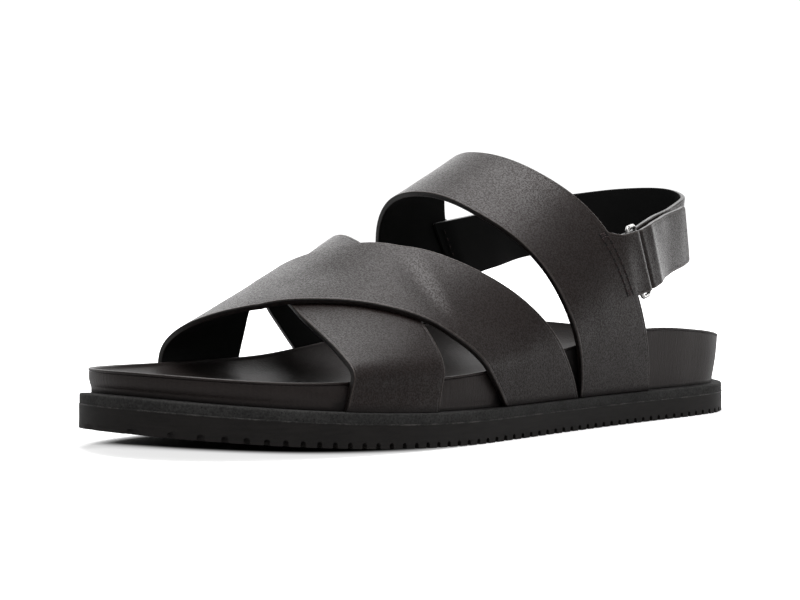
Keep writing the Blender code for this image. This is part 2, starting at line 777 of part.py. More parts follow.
# ------------------------------------------------------------------------ assembly
def build():
    clear_scene()
    rubber = make_material("rubber", (0.028, 0.026, 0.025), 0.75)
    midsole_rubber = make_material("midsole_rubber", (0.045, 0.044, 0.043), 0.8)
    leather = make_material("brown_leather", (0.040, 0.030, 0.027), 0.42)
    footbed_leather = make_material("footbed_leather", (0.045, 0.036, 0.032), 0.48)
    steel = make_material("nickel_wire", (0.72, 0.72, 0.73), 0.25, 1.0)
    nylon = make_material("fastener_nylon", (0.012, 0.012, 0.012), 0.9)

    outsole(rubber)
    midsole(midsole_rubber)
    footbed(footbed_leather)
    cross_straps(leather)
    instep_strap(leather)
    ring(steel)
    heel_strap(leather)
    fastener_pad("loop_pad", STRAP_DEPTH / 2 + GAP, nylon)
    fastener_pad("hook_pad", STRAP_DEPTH / 2 + 2 * GAP + FASTENER_DEPTH, nylon)


build()
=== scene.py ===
"""Looks of the left fisherman sandal: leather straps with lining, sewn folds, wrapped footbed, ripple sole.

+X is the outer side of the foot, +Y runs from the toe to the heel and +Z is up. The forms are worked
out in millimetres on the last's own axes, and become metres when a piece is made.
"""
import math

import bmesh
import bpy
import numpy as np
from mathutils import Matrix, Vector


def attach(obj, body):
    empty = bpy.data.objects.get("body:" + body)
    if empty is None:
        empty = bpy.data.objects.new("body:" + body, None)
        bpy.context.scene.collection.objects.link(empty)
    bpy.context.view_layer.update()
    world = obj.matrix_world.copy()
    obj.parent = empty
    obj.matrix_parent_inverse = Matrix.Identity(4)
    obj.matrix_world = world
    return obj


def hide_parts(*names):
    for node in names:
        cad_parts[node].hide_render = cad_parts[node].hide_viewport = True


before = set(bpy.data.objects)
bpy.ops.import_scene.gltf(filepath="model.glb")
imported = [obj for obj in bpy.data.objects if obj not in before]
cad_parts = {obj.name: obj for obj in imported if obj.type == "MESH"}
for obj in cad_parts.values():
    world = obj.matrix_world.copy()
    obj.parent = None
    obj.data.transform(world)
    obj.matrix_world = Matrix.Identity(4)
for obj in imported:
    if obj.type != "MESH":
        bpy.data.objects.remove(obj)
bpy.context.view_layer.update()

MM = 0.001
CENTRE_X = -0.6             # middle of the sole on the last's own axes

# ------------------------ driving sizes
SOLE_LENGTH = 290.0
SOLE_DEPTH = 11.0           # outsole and midsole together
MIDSOLE_DEPTH = 3.3
FOOTBED_CLEAR = 0.8         # from the midsole's top to the footbed's underside
TOE_SPRING = 7.6
TOE_SPRING_FROM = -27.0
TOE_SPRING_POWER = 1.8
HEEL_BEVEL = 2.6
HEEL_BEVEL_LENGTH = 6.0
RIPPLE_PITCH = 5.1
GROOVE_WIDTH = 1.6
GROOVE_DEPTH = 1.9
GROOVE_COUNT = 56
FIRST_GROOVE = -138.5
TOE_GROOVE = (-144.1, -142.6)
RIB_INSET = 0.35            # of the end ribs from the sole's tips

# A rib's side: height, and how far it stands into the groove.
GROOVE_SECTION = ((2.3, 0.8), (1.9, 0.62), (1.72, 0.3), (1.5, 0.1), (1.2, 0.0), (0.28, 0.0), (0.08, -0.08),
                  (0.0, -0.28))
BODY_INSET = 0.9            # of the outsole's body at its underside, over the ribs

# Sections of the sole's edge: inset, and height from the top of the layer.
OUTSOLE_EDGE = ((0.0, -0.45), (-0.1, -0.34), (-0.1, -0.12), (0.04, 0.0))
MIDSOLE_EDGE = ((0.12, -0.75), (0.2, -0.38), (0.42, -0.12), (0.8, -0.02), (2.4, 0.0), (4.4, 0.0),
                (5.6, 0.0))
MIDSOLE_FOOT = ((1.4, 0.0), (0.16, 0.0), (0.12, 0.4))   # inset, and height from its bottom
LAYER_CLEAR = 0.02          # between outsole and midsole

STRAP_DEPTH = 2.0
STRAP_CLEAR = 0.08          # between the two crossed bands
CROSSING_RAMP = 17.0        # of the upper band, from the lower band's edges down to the last
CROWN_RAMP = 15.0           # added to that ramp over the crown
TOE_STAND_OFF = 1.95        # of the upper band, drawn taut on the inner side of the toes
REAR_STAND_OFF = 2.45       # of the upper band, slack behind the crossing on the outer side
REAR_RAMP = 14.0            # over which it comes to stand off there
EDGE_ROUND = 0.42           # radius of the straps' burnished edges
WIRE = 1.8                  # room for the ring's wire in the leather's folds
SHOWN_WIRE = 1.6
RING_INSIDE_LENGTH = 24.0
RING_CORNER = 2.0
RING_TURN = 20.0            # degrees from the wing in towards the heel
BAR_SLACK = 1.5             # of its front bar in the wing's fold
HEEL_STRAP_WIDTH = 22.0
FLAP_LENGTH = 41.8
FLAP_CORNER = 1.8           # radius of the flap's two corners
CORNER_WIDTH = 1.6          # what both corners take from its width, as a part of that radius
FASTENER_DEPTH = 0.75
FASTENER_WIDTH = 19.0
FASTENER_START = 5.0
FASTENER_END = 39.0
FASTENER_ROUND = 0.2
GAP = 0.3                   # between pieces that face each other

SKIN = WIRE / 2 + GAP       # from a bar's middle to the leather round it
TIP = SOLE_LENGTH / 2
HEEL_LAYERS = 2 * SKIN + STRAP_DEPTH    # from the middle of the heel strap to the middle of its flap
UNDER_WING = GAP + 0.1      # between the heel strap's start and the inner wing
START_REACH = 1.5           # how much further the heel strap starts, under the inner wing
START_SLANT = 4.0           # its end's slope, from the middle to the top edge
START_SKIVED = 0.3          # its thickness at its end, as a part of the whole
WING_STRETCH = 0.9          # steps of the heel strap's run that lie under the inner wing
FOLD_SPACING = 2 * (SKIN + STRAP_DEPTH) + GAP   # from one bar of the ring to the other

# How many rows and columns of points the straps' meshes have.
BAND_ROWS = 129
BAND_COLUMNS = 25
INSTEP_COLUMNS = 23
WING_STEPS = 16
HEEL_ROWS = 217
HEEL_COLUMNS = 15
FLAP_ROWS = 61
PAD_ROWS = 33
PAD_COLUMNS = 13


# ------------------------ tables of sizes
def smooth(knots, values, where):
    """Cubic curve through the values, straight beyond the first and the last knot."""
    knots = np.asarray(knots, float)
    values = np.asarray(values, float)
    steps = np.diff(knots)
    slopes = np.diff(values) / steps
    inner = (slopes[:-1] * steps[1:] + slopes[1:] * steps[:-1]) / (steps[:-1] + steps[1:])
    tangents = np.concatenate([slopes[:1], inner, slopes[-1:]])
    where = np.asarray(where, float)
    inside = np.clip(where, knots[0], knots[-1])
    i = np.clip(np.searchsorted(knots, inside) - 1, 0, len(steps) - 1)
    t = (inside - knots[i]) / steps[i]
    start = (1 + 2 * t) * (1 - t) ** 2 * values[i] + t * (1 - t) ** 2 * steps[i] * tangents[i]
    end = t * t * (3 - 2 * t) * values[i + 1] - t * t * (1 - t) * steps[i] * tangents[i + 1]
    beyond = np.where(where < knots[0], tangents[0], tangents[-1]) * (where - inside)
    return start + end + beyond


class Table:
    """Rows of sizes with named columns; the first column says where each row is."""

    def __init__(self, columns, rows):
        self.columns = columns
        self.rows = np.array(rows, float)

    def column(self, name):
        return self.rows[:, self.columns.index(name)]

    def at(self, name, where):
        return smooth(self.rows[:, 0], self.column(name), where)


OUTLINE = Table(("along", "outer", "inner"), (
    (-138, 17.4, -29.0),
    (-118, 36.0, -44.0),
    (-75, 48.8, -50.6),
    (-45, 49.0, -48.6),
    (-15, 46.1, -41.0),
    (15, 42.6, -34.8),
    (45, 39.9, -33.2),
    (75, 38.2, -35.1),
    (100, 37.0, -36.0),
    (120, 33.8, -32.0),
    (136, 23.4, -20.0),
))
TOE_TIP_X = -6.0
HEEL_TIP_X = 1.8

# Insets are from the sole's edge, heights are over the midsole's top.
FOOTBED = Table(("along", "outer_inset", "inner_inset", "outer_rim", "inner_rim", "bed"), (
    (-145, 2.8, 2.8, 6.6, 6.6, 4.2),
    (-110, 3.4, 3.6, 7.3, 8.8, 4.4),
    (-75, 6.1, 6.0, 9.2, 11.3, 4.8),
    (-45, 3.6, 4.8, 10.5, 13.4, 5.6),
    (-15, 2.1, 2.1, 13.0, 18.0, 7.0),
    (15, 1.1, 0.8, 16.8, 21.6, 9.2),
    (45, 0.8, 0.6, 20.8, 23.0, 10.4),
    (75, 1.2, 1.2, 22.2, 22.8, 10.4),
    (105, 1.7, 1.7, 20.5, 20.8, 9.8),
    (145, 1.9, 1.9, 15.9, 15.9, 9.0),
))
WALL_INSET = 3.8

# Foot of the footbed's wall: inset, height, and how dark its painted contact shade is.
WALL_BASE = ((0.14, -0.95, 1.0), (0.02, -0.8, 1.0), (0.0, -0.35, 1.0), (0.0, 0.1, 0.7), (0.0, 0.5, 0.2),
             (0.0, 0.9, 0.0))
WALL_UNDER = (5.8, -0.95)   # inset and height of the footbed's underside at its edge
WALL_SWELL = 0.3            # how far the wall bulges halfway up
WALL_FOOT_SHADE_REACH = 4.5                 # reach of the painted shade at the wall's foot in front of the lower band
BED_INSET = 1.5             # of the bed's edge from the rim
BED_DROP = 1.1              # of the bed's edge below the rim
SPINE_LENGTH = 0.76         # of the line that the bed closes on, as a part of the sole's length
DISH = ((0.6, 7), (0.4, 2.6))       # the bed's rise to its edge: a share and its power for each part
LIP_HEIGHT = 1.15           # of the turned edge round the footbed's rim

# The turned edge's section: inset and height from the rim.
LIP = ((0.30, -1.15), (0.34, -1.02), (0.12, -0.88), (-0.06, -0.64), (-0.1, -0.40), (0.0, -0.18),
       (0.2, -0.05), (0.48, 0.0), (0.8, -0.06), (1.05, -0.24), (1.2, -0.5))

# Foot side of the straps: the widest points, the crown, and how round each side is.
LAST = Table(("along", "outer_x", "inner_x", "outer_z", "inner_z",
              "crown_x", "crown_z", "outer_round", "inner_round"), (
    (-105, 40.3, -46.7, 23.5, 18.0, -7.4, 28.2, 1.8, 2.2),
    (-75, 43.6, -45.6, 23.5, 27.6, -11.1, 41.6, 1.6, 2.5),
    (-45, 46.2, -43.5, 23.5, 36.7, -13.8, 56.3, 1.5, 2.6),
    (-15, 44.6, -41.5, 24.8, 43.1, -15.1, 72.5, 1.5, 2.7),
    (15, 42.8, -39.2, 29.4, 47.3, -15.1, 87.8, 1.75, 2.6),
    (45, 40.9, -35.5, 34.6, 50.3, -14.7, 103.9, 2.06, 2.5),
    (75, 39.1, -32.8, 39.8, 52.8, -15.0, 121.4, 2.3, 2.3),
))
LAST_REACH = (-112.0, 92.0)
LAST_FOOT_INSET = 3.4       # of the straps' way down, from the sole's edge
TUCK = 0.9                  # how far the strap ends go down into the ledge

# Edges of the bands along the shoe; across runs from -1, outer ledge, over 0, the crown, to 1.
LOWER_BAND = Table(("across", "front", "rear"), (
    (-1.0, -92.3, -54.9),
    (-0.75, -87.5, -50.2),
    (-0.5, -82.0, -45.6),
    (-0.25, -75.8, -38.3),
    (0.0, -66.9, -29.7),
    (0.25, -57.4, -21.9),
    (0.5, -46.1, -13.4),
    (0.75, -33.1, -4.0),
    (1.0, -18.9, 6.4),
))
UPPER_BAND = Table(("across", "front", "rear"), (
    (-1.0, -18.7, 26.0),
    (-0.75, -39.0, 4.5),
    (-0.5, -54.9, -13.0),
    (-0.25, -67.4, -26.6),
    (0.0, -75.4, -37.8),
    (0.25, -80.2, -44.3),
    (0.5, -84.3, -49.8),
    (0.75, -88.5, -54.4),
    (1.0, -92.6, -58.9),
))
INSTEP_BAND = Table(("across", "front", "rear"), (
    (-1.0, 27.0, 71.2),
    (-0.75, 18.0, 59.2),
    (-0.5, 11.2, 45.6),
    (-0.25, 4.4, 34.6),
    (0.0, 1.8, 31.2),
    (0.25, 4.4, 36.3),
    (0.5, 8.9, 42.7),
    (0.75, 13.2, 49.0),
    (1.0, 17.6, 55.4),
))

# The wings' ends on the last; a fillet widens the wing's high edge where it starts.
OUTER_WING = {"low": -0.725, "high": -0.552, "low_end": 65.6, "high_end": 61.4, "fillet": 0.026}
INNER_WING = {"low": 0.61, "high": 0.41, "low_end": 58.0, "high_end": 56.0, "fillet": 0.04}
LEAVES_LAST = 11.0          # how far in front of its fold the outer wing leaves the last
WING_RETURN = Table(("back", "lift"), (
    (0.0, -2.4), (2.8, -2.4), (5.2, -1.1), (7.8, -0.35), (11.4, -0.3), (15.0, -0.3)))

# Middle of the heel strap's foot-side layer; lean is how far its top edge tips inwards.
HEEL_STRAP = Table(("step", "x", "y", "z", "lean"), (
    (0, -31.4, 40.0, 61.0, 0.09),
    (1, -34.0, 62.6, 66.0, 0.07),
    (2, -31.6, 83.2, 70.3, 0.06),
    (3, -23.5, 101.9, 72.8, 0.03),
    (4, -10.6, 116.2, 75.1, 0.0),
    (5, 4.5, 122.5, 75.2, -0.02),
    (6, 16.5, 118.3, 71.7, -0.02),
    (7, 22.2, 104.4, 67.4, 0.02),
    (8, 26.4, 87.1, 63.6, 0.06),
))

# How far the flap stands out where it is pressed flat, this far behind the ring.
FLAP_BEND = Table(("back", "out"), (
    (0.0, 0.0), (2.4, 0.42), (4.4, 0.86), (5.4, 1.0), (6.4, 0.86), (8.4, 0.52), (12.0, 0.2), (18.0, 0.0),
    (45.0, 0.0)))

WAVE_HEIGHT = 0.05          # of the faint waves all over the leather
FLAT_END = 0.12             # part across at each end where the leather lies flat

# Soft troughs and ridges of the leather: place on the last, half sizes, and height over it.
SOFT_FOLDS = Table(("across", "along", "half_across", "half_along", "height"), (
    (-0.70, -60.0, 0.08, 6.0, 0.25),
    (-0.80, -70.0, 0.05, 26.0, 0.3),
    (-0.13, -53.0, 0.12, 9.0, -0.4),
    (-0.24, 15.0, 0.07, 13.0, -0.25),
))


# ------------------------ sole forms
def closed_curve(points, steps):
    """Smooth closed curve through points, with this many steps from each to the next."""
    ring = np.array(points[-3:] + points + points[:3], float)
    knots = np.cumsum([0.0] + [math.dist(a, b) ** 0.75 for a, b in zip(ring, ring[1:])])
    where = []
    for i in range(3, 3 + len(points)):
        where += [knots[i] + (knots[i + 1] - knots[i]) * step / steps for step in range(steps)]
    return np.stack([smooth(knots, ring[:, axis], where) for axis in range(2)], axis=1)


def sole_edges():
    """The outer and the inner edge of the sole, each from the toe tip to the heel tip."""
    outer = list(zip(OUTLINE.column("outer"), OUTLINE.column("along")))
    inner = list(zip(OUTLINE.column("inner"), OUTLINE.column("along")))
    points = [(TOE_TIP_X, -TIP)] + outer + [(HEEL_TIP_X, TIP)] + inner[::-1]
    curve = closed_curve(points, 24)
    heel = 24 * (len(outer) + 1)
    outer_edge = curve[:heel + 1]
    inner_edge = np.vstack([curve[heel:], curve[:1]])[::-1]
    return {"outer": outer_edge, "inner": inner_edge}


EDGES = sole_edges()


def edge_x(side, along):
    """How far the sole reaches to a side, this far along the shoe."""
    edge = EDGES[side]
    return float(np.interp(along, edge[:, 1], edge[:, 0]))


def spring(along):
    """Height of the underside over the floor, from the toe spring."""
    reach = max(0.0, (TOE_SPRING_FROM - along) / (TOE_SPRING_FROM + TIP))
    return TOE_SPRING * reach ** TOE_SPRING_POWER


def ground_rise(along):
    """Height of the outsole's underside, rounded up at the very rear."""
    past = max(0.0, (along - (TIP - HEEL_BEVEL_LENGTH)) / HEEL_BEVEL_LENGTH)
    return spring(along) + HEEL_BEVEL * (1 - math.sqrt(1 - min(past, 1) ** 2))


def footbed_floor(along):
    """Height of the footbed's underside, and of the straps' lower ends."""
    return SOLE_DEPTH + FOOTBED_CLEAR + spring(along)


LOOP_STEPS = 110            # from the toe tip to the heel tip
LOOP_SIDES = ["outer"] * (LOOP_STEPS + 1) + ["inner"] * (LOOP_STEPS - 1)    # of each point


def edge_points(side, places):
    """Points on one edge of the sole."""
    return [(edge_x(side, along), along) for along in places]


def sole_loop():
    """Points round the sole's edge: the outer side to the heel, and the inner side back."""
    along = [-TIP * math.cos(math.pi * k / LOOP_STEPS) for k in range(LOOP_STEPS + 1)]
    return np.array(edge_points("outer", along) + edge_points("inner", along[-2:0:-1]))


def loop_inward(loop):
    """Direction inwards at each point of a loop."""
    run = np.roll(loop, -2, axis=0) - np.roll(loop, 2, axis=0)
    inward = np.stack([-run[:, 1], run[:, 0]], axis=1)
    return inward / np.linalg.norm(inward, axis=1, keepdims=True)


SOLE_LOOP = sole_loop()
SOLE_INWARD = loop_inward(SOLE_LOOP)


def round_sole(size):
    """A size that depends on the place along the shoe, at each point round the sole."""
    return np.array([size(along) for along in SOLE_LOOP[:, 1]])


def inset_loop(insets):
    """The sole's loop moved in from the edge."""
    return SOLE_LOOP + SOLE_INWARD * np.reshape(insets, (-1, 1))


def raised(loop, heights):
    """A loop given heights, one for all or one for each point."""
    return np.column_stack([loop, np.broadcast_to(heights, len(loop))])


def ring_faces(low, high, count):
    """Faces between two closed rings of points, which start at low and at high."""
    return [(low + k, low + (k + 1) % count, high + (k + 1) % count, high + k) for k in range(count)]


def stack_faces(base, rings, count):
    """Faces between the neighbours in a stack of closed rings of points."""
    faces = []
    for ring_start in range(base, base + (rings - 1) * count, count):
        faces += ring_faces(ring_start, ring_start + count, count)
    return faces


def end_faces(base, rings, count):
    """Faces over the first and the last ring of a stack."""
    return [tuple(range(start, start + count)) for start in (base, base + (rings - 1) * count)]


def circle(centre, first, second, radius, sides):
    """Points round a centre, from the first direction towards the second."""
    turns = [math.tau * side / sides for side in range(sides)]
    return [centre + (first * math.cos(turn) + second * math.sin(turn)) * radius for turn in turns]


def stacked(rows):
    """Points and faces of a form whose skin runs through loops, closed at both ends."""
    count = 2 * LOOP_STEPS
    faces = []
    for start in (0, (len(rows) - 1) * count):
        faces.append((start, start + 1, start + count - 1))
        for k in range(1, LOOP_STEPS - 1):
            faces.append((start + k, start + k + 1, start + count - k - 1, start + count - k))
        faces.append((start + LOOP_STEPS - 1, start + LOOP_STEPS, start + LOOP_STEPS + 1))
    return np.vstack(rows), faces + stack_faces(0, len(rows), count)


# ------------------------ making pieces
def scene_object(name, data):
    """A new object, linked to the scene."""
    made = bpy.data.objects.new(name, data)
    bpy.context.scene.collection.objects.link(made)
    return made


def write_attribute(made, name, values):
    """Stores a number on each point of an object's mesh, for its finish to read."""
    attribute = made.data.attributes.new(name, "FLOAT", "POINT")
    attribute.data.foreach_set("value", np.asarray(values, np.float32))


def finished_mesh(name, points, faces, materials, slots=None, crease=40):
    """A piece's object from points in millimetres, its faces turned outwards and shaded smooth."""
    mesh = bpy.data.meshes.new(name)
    placed = (np.asarray(points, float) - (CENTRE_X, 0.0, 0.0)) * MM
    mesh.from_pydata([tuple(point) for point in placed], [], faces)
    for material in materials:
        mesh.materials.append(material)
    if slots is not None:
        mesh.polygons.foreach_set("material_index", np.array(slots, np.int32))
    form = bmesh.new()
    form.from_mesh(mesh)
    bmesh.ops.recalc_face_normals(form, faces=form.faces)
    form.to_mesh(mesh)
    form.free()
    mesh.shade_smooth()
    mesh.set_sharp_from_angle(angle=math.radians(crease))
    return scene_object(name, mesh)


def round_edges(piece, radius):
    """Rounds a piece's sharp edges."""
    bevel = piece.modifiers.new("Rounded", "BEVEL")
    bevel.width = radius * MM
    bevel.segments = 3
    bevel.limit_method = "ANGLE"
    bevel.angle_limit = math.radians(50)
    bevel.use_clamp_overlap = False
    bevel.harden_normals = False


def settle(piece, slot, *nodes):
    """Fixes a piece to the shoe's one body, in place of its CAD nodes."""
    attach(piece, "root")
    if nodes:
        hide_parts(*nodes)


FAR_FROM_RIM = 99.0         # written where a strap has no such rim


class Leather:
    """A strap grown row by row: its near skin, its far skin and the faces between rows."""

    def __init__(self):
        self.near = []
        self.far = []
        self.faces = []
        self.turned = None      # first face with its near skin outwards, after a fold
        self.tucked = set()     # points at the ends that go down into the sole

    def add_row(self, near_row, far_row, before=None):
        """Adds a row of points, joined to the row before, and returns its indices."""
        start = len(self.near)
        self.near += list(near_row)
        self.far += list(far_row)
        row = list(range(start, start + len(near_row)))
        if before:
            for i in range(len(row) - 1):
                self.faces.append((before[i], before[i + 1], row[i + 1], row[i]))
        return row

    def rim(self):
        """The edges that only one face uses, as pairs of indices."""
        uses = {}
        for face in self.faces:
            for pair in zip(face, face[1:] + face[:1]):
                uses[frozenset(pair)] = uses.get(frozenset(pair), 0) + 1
        return [tuple(edge) for edge, times in uses.items() if times == 1]

    def rim_distances(self, rim):
        """Distance of each point of the far skin from the strap's rim."""
        far = np.array(self.far)
        starts = far[[edge[0] for edge in rim]]
        runs = far[[edge[1] for edge in rim]] - starts
        lengths = np.maximum((runs ** 2).sum(axis=1), 1e-9)
        found = []
        for point in far:
            part = np.clip(((point - starts) * runs).sum(axis=1) / lengths, 0, 1)
            gaps = point - starts - runs * part[:, None]
            found.append(math.sqrt((gaps ** 2).sum(axis=1).min()))
        return found

    def piece(self, name, top, lining, edge, rounding=EDGE_ROUND):
        """The strap as a piece: top material outside, lining inside, rounded edges."""
        rim = self.rim()
        count = len(self.near)
        faces = list(self.faces)
        faces += [tuple(count + corner for corner in face) for face in self.faces]
        faces += [(a, b, count + b, count + a) for a, b in rim]
        turned = len(self.faces) if self.turned is None else self.turned
        back = len(self.faces) - turned
        slots = [1] * turned + [0] * back + [0] * turned + [1] * back + [2] * len(rim)
        piece = finished_mesh(name, self.near + self.far, faces, [top, lining, edge], slots)
        ends = [edge for edge in rim if self.tucked.issuperset(edge)]
        shown = [edge for edge in rim if edge not in ends]
        for attribute_name, edges in (("rim_distance", shown), ("tuck_distance", ends)):
            distances = self.rim_distances(edges) if edges else [FAR_FROM_RIM] * count
            write_attribute(piece, attribute_name, distances * 2)
        round_edges(piece, rounding)
        return piece

    def strap(self, name, node, finishes):
        """The strap as a leather piece with its lining, in place of a CAD node."""
        piece = self.piece(name, finishes["strap"], finishes["lining"], finishes["edge"])
        settle(piece, "strap_leather", node)


def unit(vector):
    """The vector's direction."""
    return vector / np.linalg.norm(vector)


def ease(part):
    """0 to 1 with a soft start and end."""
    part = np.clip(part, 0.0, 1.0)
    return part * part * (3 - 2 * part)


def rise(place, start, reach):
    """0 up to the start, 1 past its reach; with a reach below zero it rises the other way."""
    return ease((place - start) / reach)


# ------------------------ the last
class Last:
    """Foot side of the straps, worked out once as a fine grid over across and along."""

    def __init__(self):
        self.across = np.linspace(-1, 1, 241)
        self.along = np.arange(*LAST_REACH)
        self.points = np.array([self.section(along) for along in self.along])
        over = np.gradient(self.points, axis=1)
        back = np.gradient(self.points, axis=0)
        out = np.cross(back, over)
        out[:, (0, -1), 2] = 0.0
        self.normals = out / np.linalg.norm(out, axis=2, keepdims=True)

    def side(self, along, side):
        """One side of a cross-section from the ledge to the crown, with its run fractions."""
        away = 1 if side == "outer" else -1
        foot_x = edge_x(side, along) - away * LAST_FOOT_INSET
        foot_z = footbed_floor(along) - TUCK
        wide_x = LAST.at(side + "_x", along)
        wide_z = LAST.at(side + "_z", along)
        power = 2 / LAST.at(side + "_round", along)
        crown_x = LAST.at("crown_x", along)
        crown_z = LAST.at("crown_z", along)
        upright = np.linspace(0, 1, 24, endpoint=False)
        turn = np.linspace(0, 1, 120)
        quarter = math.pi / 2 * turn
        flat = power + (1 - power) * turn ** 3
        x = np.append(foot_x + (wide_x - foot_x) * (1 - (1 - upright) ** 2),
                      crown_x + (wide_x - crown_x) * np.maximum(np.cos(quarter), 0) ** flat)
        z = np.append(foot_z + (wide_z - foot_z) * upright,
                      wide_z + (crown_z - wide_z) * np.sin(quarter) ** power)
        run = np.append(0.0, np.cumsum(np.hypot(np.diff(x), np.diff(z))))
        return x, z, run / run[-1]

    def section(self, along):
        """A whole cross-section, from the outer ledge over the crown to the inner one."""
        up = 1 - np.abs(self.across)
        sides = []
        for side in ("outer", "inner"):
            x, z, run = self.side(along, side)
            sides.append(np.column_stack([np.interp(up, run, x), np.full(len(up), along),
                                          np.interp(up, run, z)]))
        return np.where((self.across < 0)[:, None], *sides)

    def at(self, across, along, lift=0.0):
        """Point over the last by a lift."""
        i = (along - self.along[0]) / (self.along[1] - self.along[0])
        j = (across - self.across[0]) / (self.across[1] - self.across[0])
        low_i = int(np.clip(i, 0, len(self.along) - 2))
        low_j = int(np.clip(j, 0, len(self.across) - 2))
        part_i = i - low_i
        part_j = j - low_j
        found = []
        for grid in (self.points, self.normals):
            cell = grid[low_i:low_i + 2, low_j:low_j + 2]
            found.append((cell[0, 0] * (1 - part_j) + cell[0, 1] * part_j) * (1 - part_i)
                         + (cell[1, 0] * (1 - part_j) + cell[1, 1] * part_j) * part_i)
        return found[0] + unit(found[1]) * lift


LAST_FORM = Last()


def soft_fold(across, along):
    """How far the leather stands off the last, from its soft troughs and ridges."""
    reach = ((across - SOFT_FOLDS.column("across")) / SOFT_FOLDS.column("half_across")) ** 2
    reach = reach + ((along - SOFT_FOLDS.column("along")) / SOFT_FOLDS.column("half_along")) ** 2
    folds = float((SOFT_FOLDS.column("height") * np.exp(-reach)).sum())
    waves = WAVE_HEIGHT * math.sin(along * 0.31 + across * 9.0) * math.sin(across * 13.0 - along * 0.12)
    return (folds + waves) * rise(abs(across), 1, -FLAT_END)


def on_last(across, along, lift=0.0):
    """Point on the straps' own shape of the last, with its soft folds."""
    return LAST_FORM.at(across, along, lift + soft_fold(across, along))


# ------------------------ straps over the foot
def no_lift(across, along):
    """A band that lies on the last."""
    return 0.0


def crossing_lift(across, along):
    """How high the upper band lies over the last, to pass over the lower band."""
    rear = LOWER_BAND.at("rear", across)
    outside = max(LOWER_BAND.at("front", across) - along, along - rear)
    ramp = CROSSING_RAMP + CROWN_RAMP * rise(across, -0.45, 0.35)
    over_band = (STRAP_DEPTH + STRAP_CLEAR) * ease(1 - outside / ramp)
    taut = TOE_STAND_OFF * rise(across, -0.25, 0.35) * rise(across, 1.0, -0.3)
    behind = REAR_STAND_OFF * rise(along, rear, REAR_RAMP)
    slack = behind * rise(across, -0.96, 0.5) * rise(across, -0.05, -0.3)
    return max((over_band ** 3 + slack ** 3) ** (1 / 3), taut)


def grow_band(leather, band, stations, columns, lift):
    """Adds a band to a strap, a row for each station across the last; returns the rows."""
    rows = []
    for across in stations:
        places = np.linspace(band.at("front", across), band.at("rear", across), columns)
        lifts = [lift(across, along) for along in places]
        near = [on_last(across, along, up) for along, up in zip(places, lifts)]
        far = [on_last(across, along, up + STRAP_DEPTH) for along, up in zip(places, lifts)]
        rows.append(leather.add_row(near, far, rows[-1] if rows else None))
    return rows


def crossed_bands(finishes):
    """The two bands over the forefoot, as two pieces of leather."""
    for name, band, lift in (("crossed_strap_upper", UPPER_BAND, crossing_lift),
                             ("crossed_strap_lower", LOWER_BAND, no_lift)):
        leather = Leather()
        rows = grow_band(leather, band, np.linspace(-1, 1, BAND_ROWS), BAND_COLUMNS, lift)
        leather.tucked = set(rows[0] + rows[-1])
        leather.strap(name, "cross_straps", finishes)


def wing_end(wing, part):
    """Place on the last at a wing's end; part is 0 at its low edge and 1 at its high edge."""
    across = wing["low"] + (wing["high"] - wing["low"]) * part
    along = wing["low_end"] + (wing["high_end"] - wing["low_end"]) * part
    return across, along


class RingAxes:
    """Axes at the ring: up along its bars, back to the heel, out from the foot.

    The wing's fold has back and out; the ring lies turned to it, with ring_back and ring_out.
    """

    def __init__(self):
        self.low = LAST_FORM.at(*wing_end(OUTER_WING, 0))
        self.high = LAST_FORM.at(*wing_end(OUTER_WING, 1))
        middle = wing_end(OUTER_WING, 0.5)
        normal = LAST_FORM.at(*middle, 1) - LAST_FORM.at(*middle)
        self.up = unit(self.high - self.low)
        self.out = unit(normal - self.up * np.dot(normal, self.up))
        self.back = np.cross(self.up, self.out)
        turn = math.radians(RING_TURN)
        towards_heel = self.back * math.cos(turn) - self.out * math.sin(turn)
        fold = (self.low + self.high) / 2 - self.out * SKIN
        self.front_bar = fold - self.back * BAR_SLACK
        self.rear_bar = fold + towards_heel * FOLD_SPACING
        self.ring_back = unit(self.rear_bar - self.front_bar)
        self.ring_out = np.cross(self.ring_back, self.up)


RING = RingAxes()


def wing_starts(wing):
    """Stations across the band where a wing starts, widened by the fillet at its high edge."""
    fillet = math.copysign(wing["fillet"], wing["low"])
    return np.linspace(wing["low"], wing["high"] - fillet, WING_STEPS + 1)


def wing_places(wing, reach):
    """Across and along for each column of a wing; reach is 0 at the band and 1 at its end."""
    fillet = math.copysign(wing["fillet"], wing["low"]) * (1 - min(reach / 0.8, 1)) ** 2
    places = []
    for step, start in enumerate(wing_starts(wing)):
        part = step / WING_STEPS
        across = wing["low"] + (wing["high"] - fillet - wing["low"]) * part
        rear = float(INSTEP_BAND.at("rear", start))
        end = wing_end(wing, part)[1]
        places.append((across, rear + (end - rear) * reach))
    return places


def wing_point(across, part, back, lift):
    """Point of the outer wing; back is how far behind the fold's middle, below zero here."""
    _, end = wing_end(OUTER_WING, part)
    on_band = on_last(across, end + back, lift)
    flat = RING.low + (RING.high - RING.low) * part + RING.back * back + RING.out * lift
    return on_band + (flat - on_band) * rise(back, -LEAVES_LAST, LEAVES_LAST - 2)


def fold_row(back, out):
    """Row of points round the fold's middle, given by its distances behind it and out from it."""
    shift = RING.back * back + RING.out * (out - SKIN)
    return [RING.low + (RING.high - RING.low) * step / WING_STEPS + shift
            for step in range(WING_STEPS + 1)]


def grow_inner_wing(leather, row):
    """Short wing on the inner side, flat on the last, to which the heel strap is sewn."""
    for reach in np.linspace(0, 1, 13)[1:]:
        places = wing_places(INNER_WING, reach)
        near = [on_last(across, along) for across, along in places]
        far = [on_last(across, along, STRAP_DEPTH) for across, along in places]
        row = leather.add_row(near, far, row)


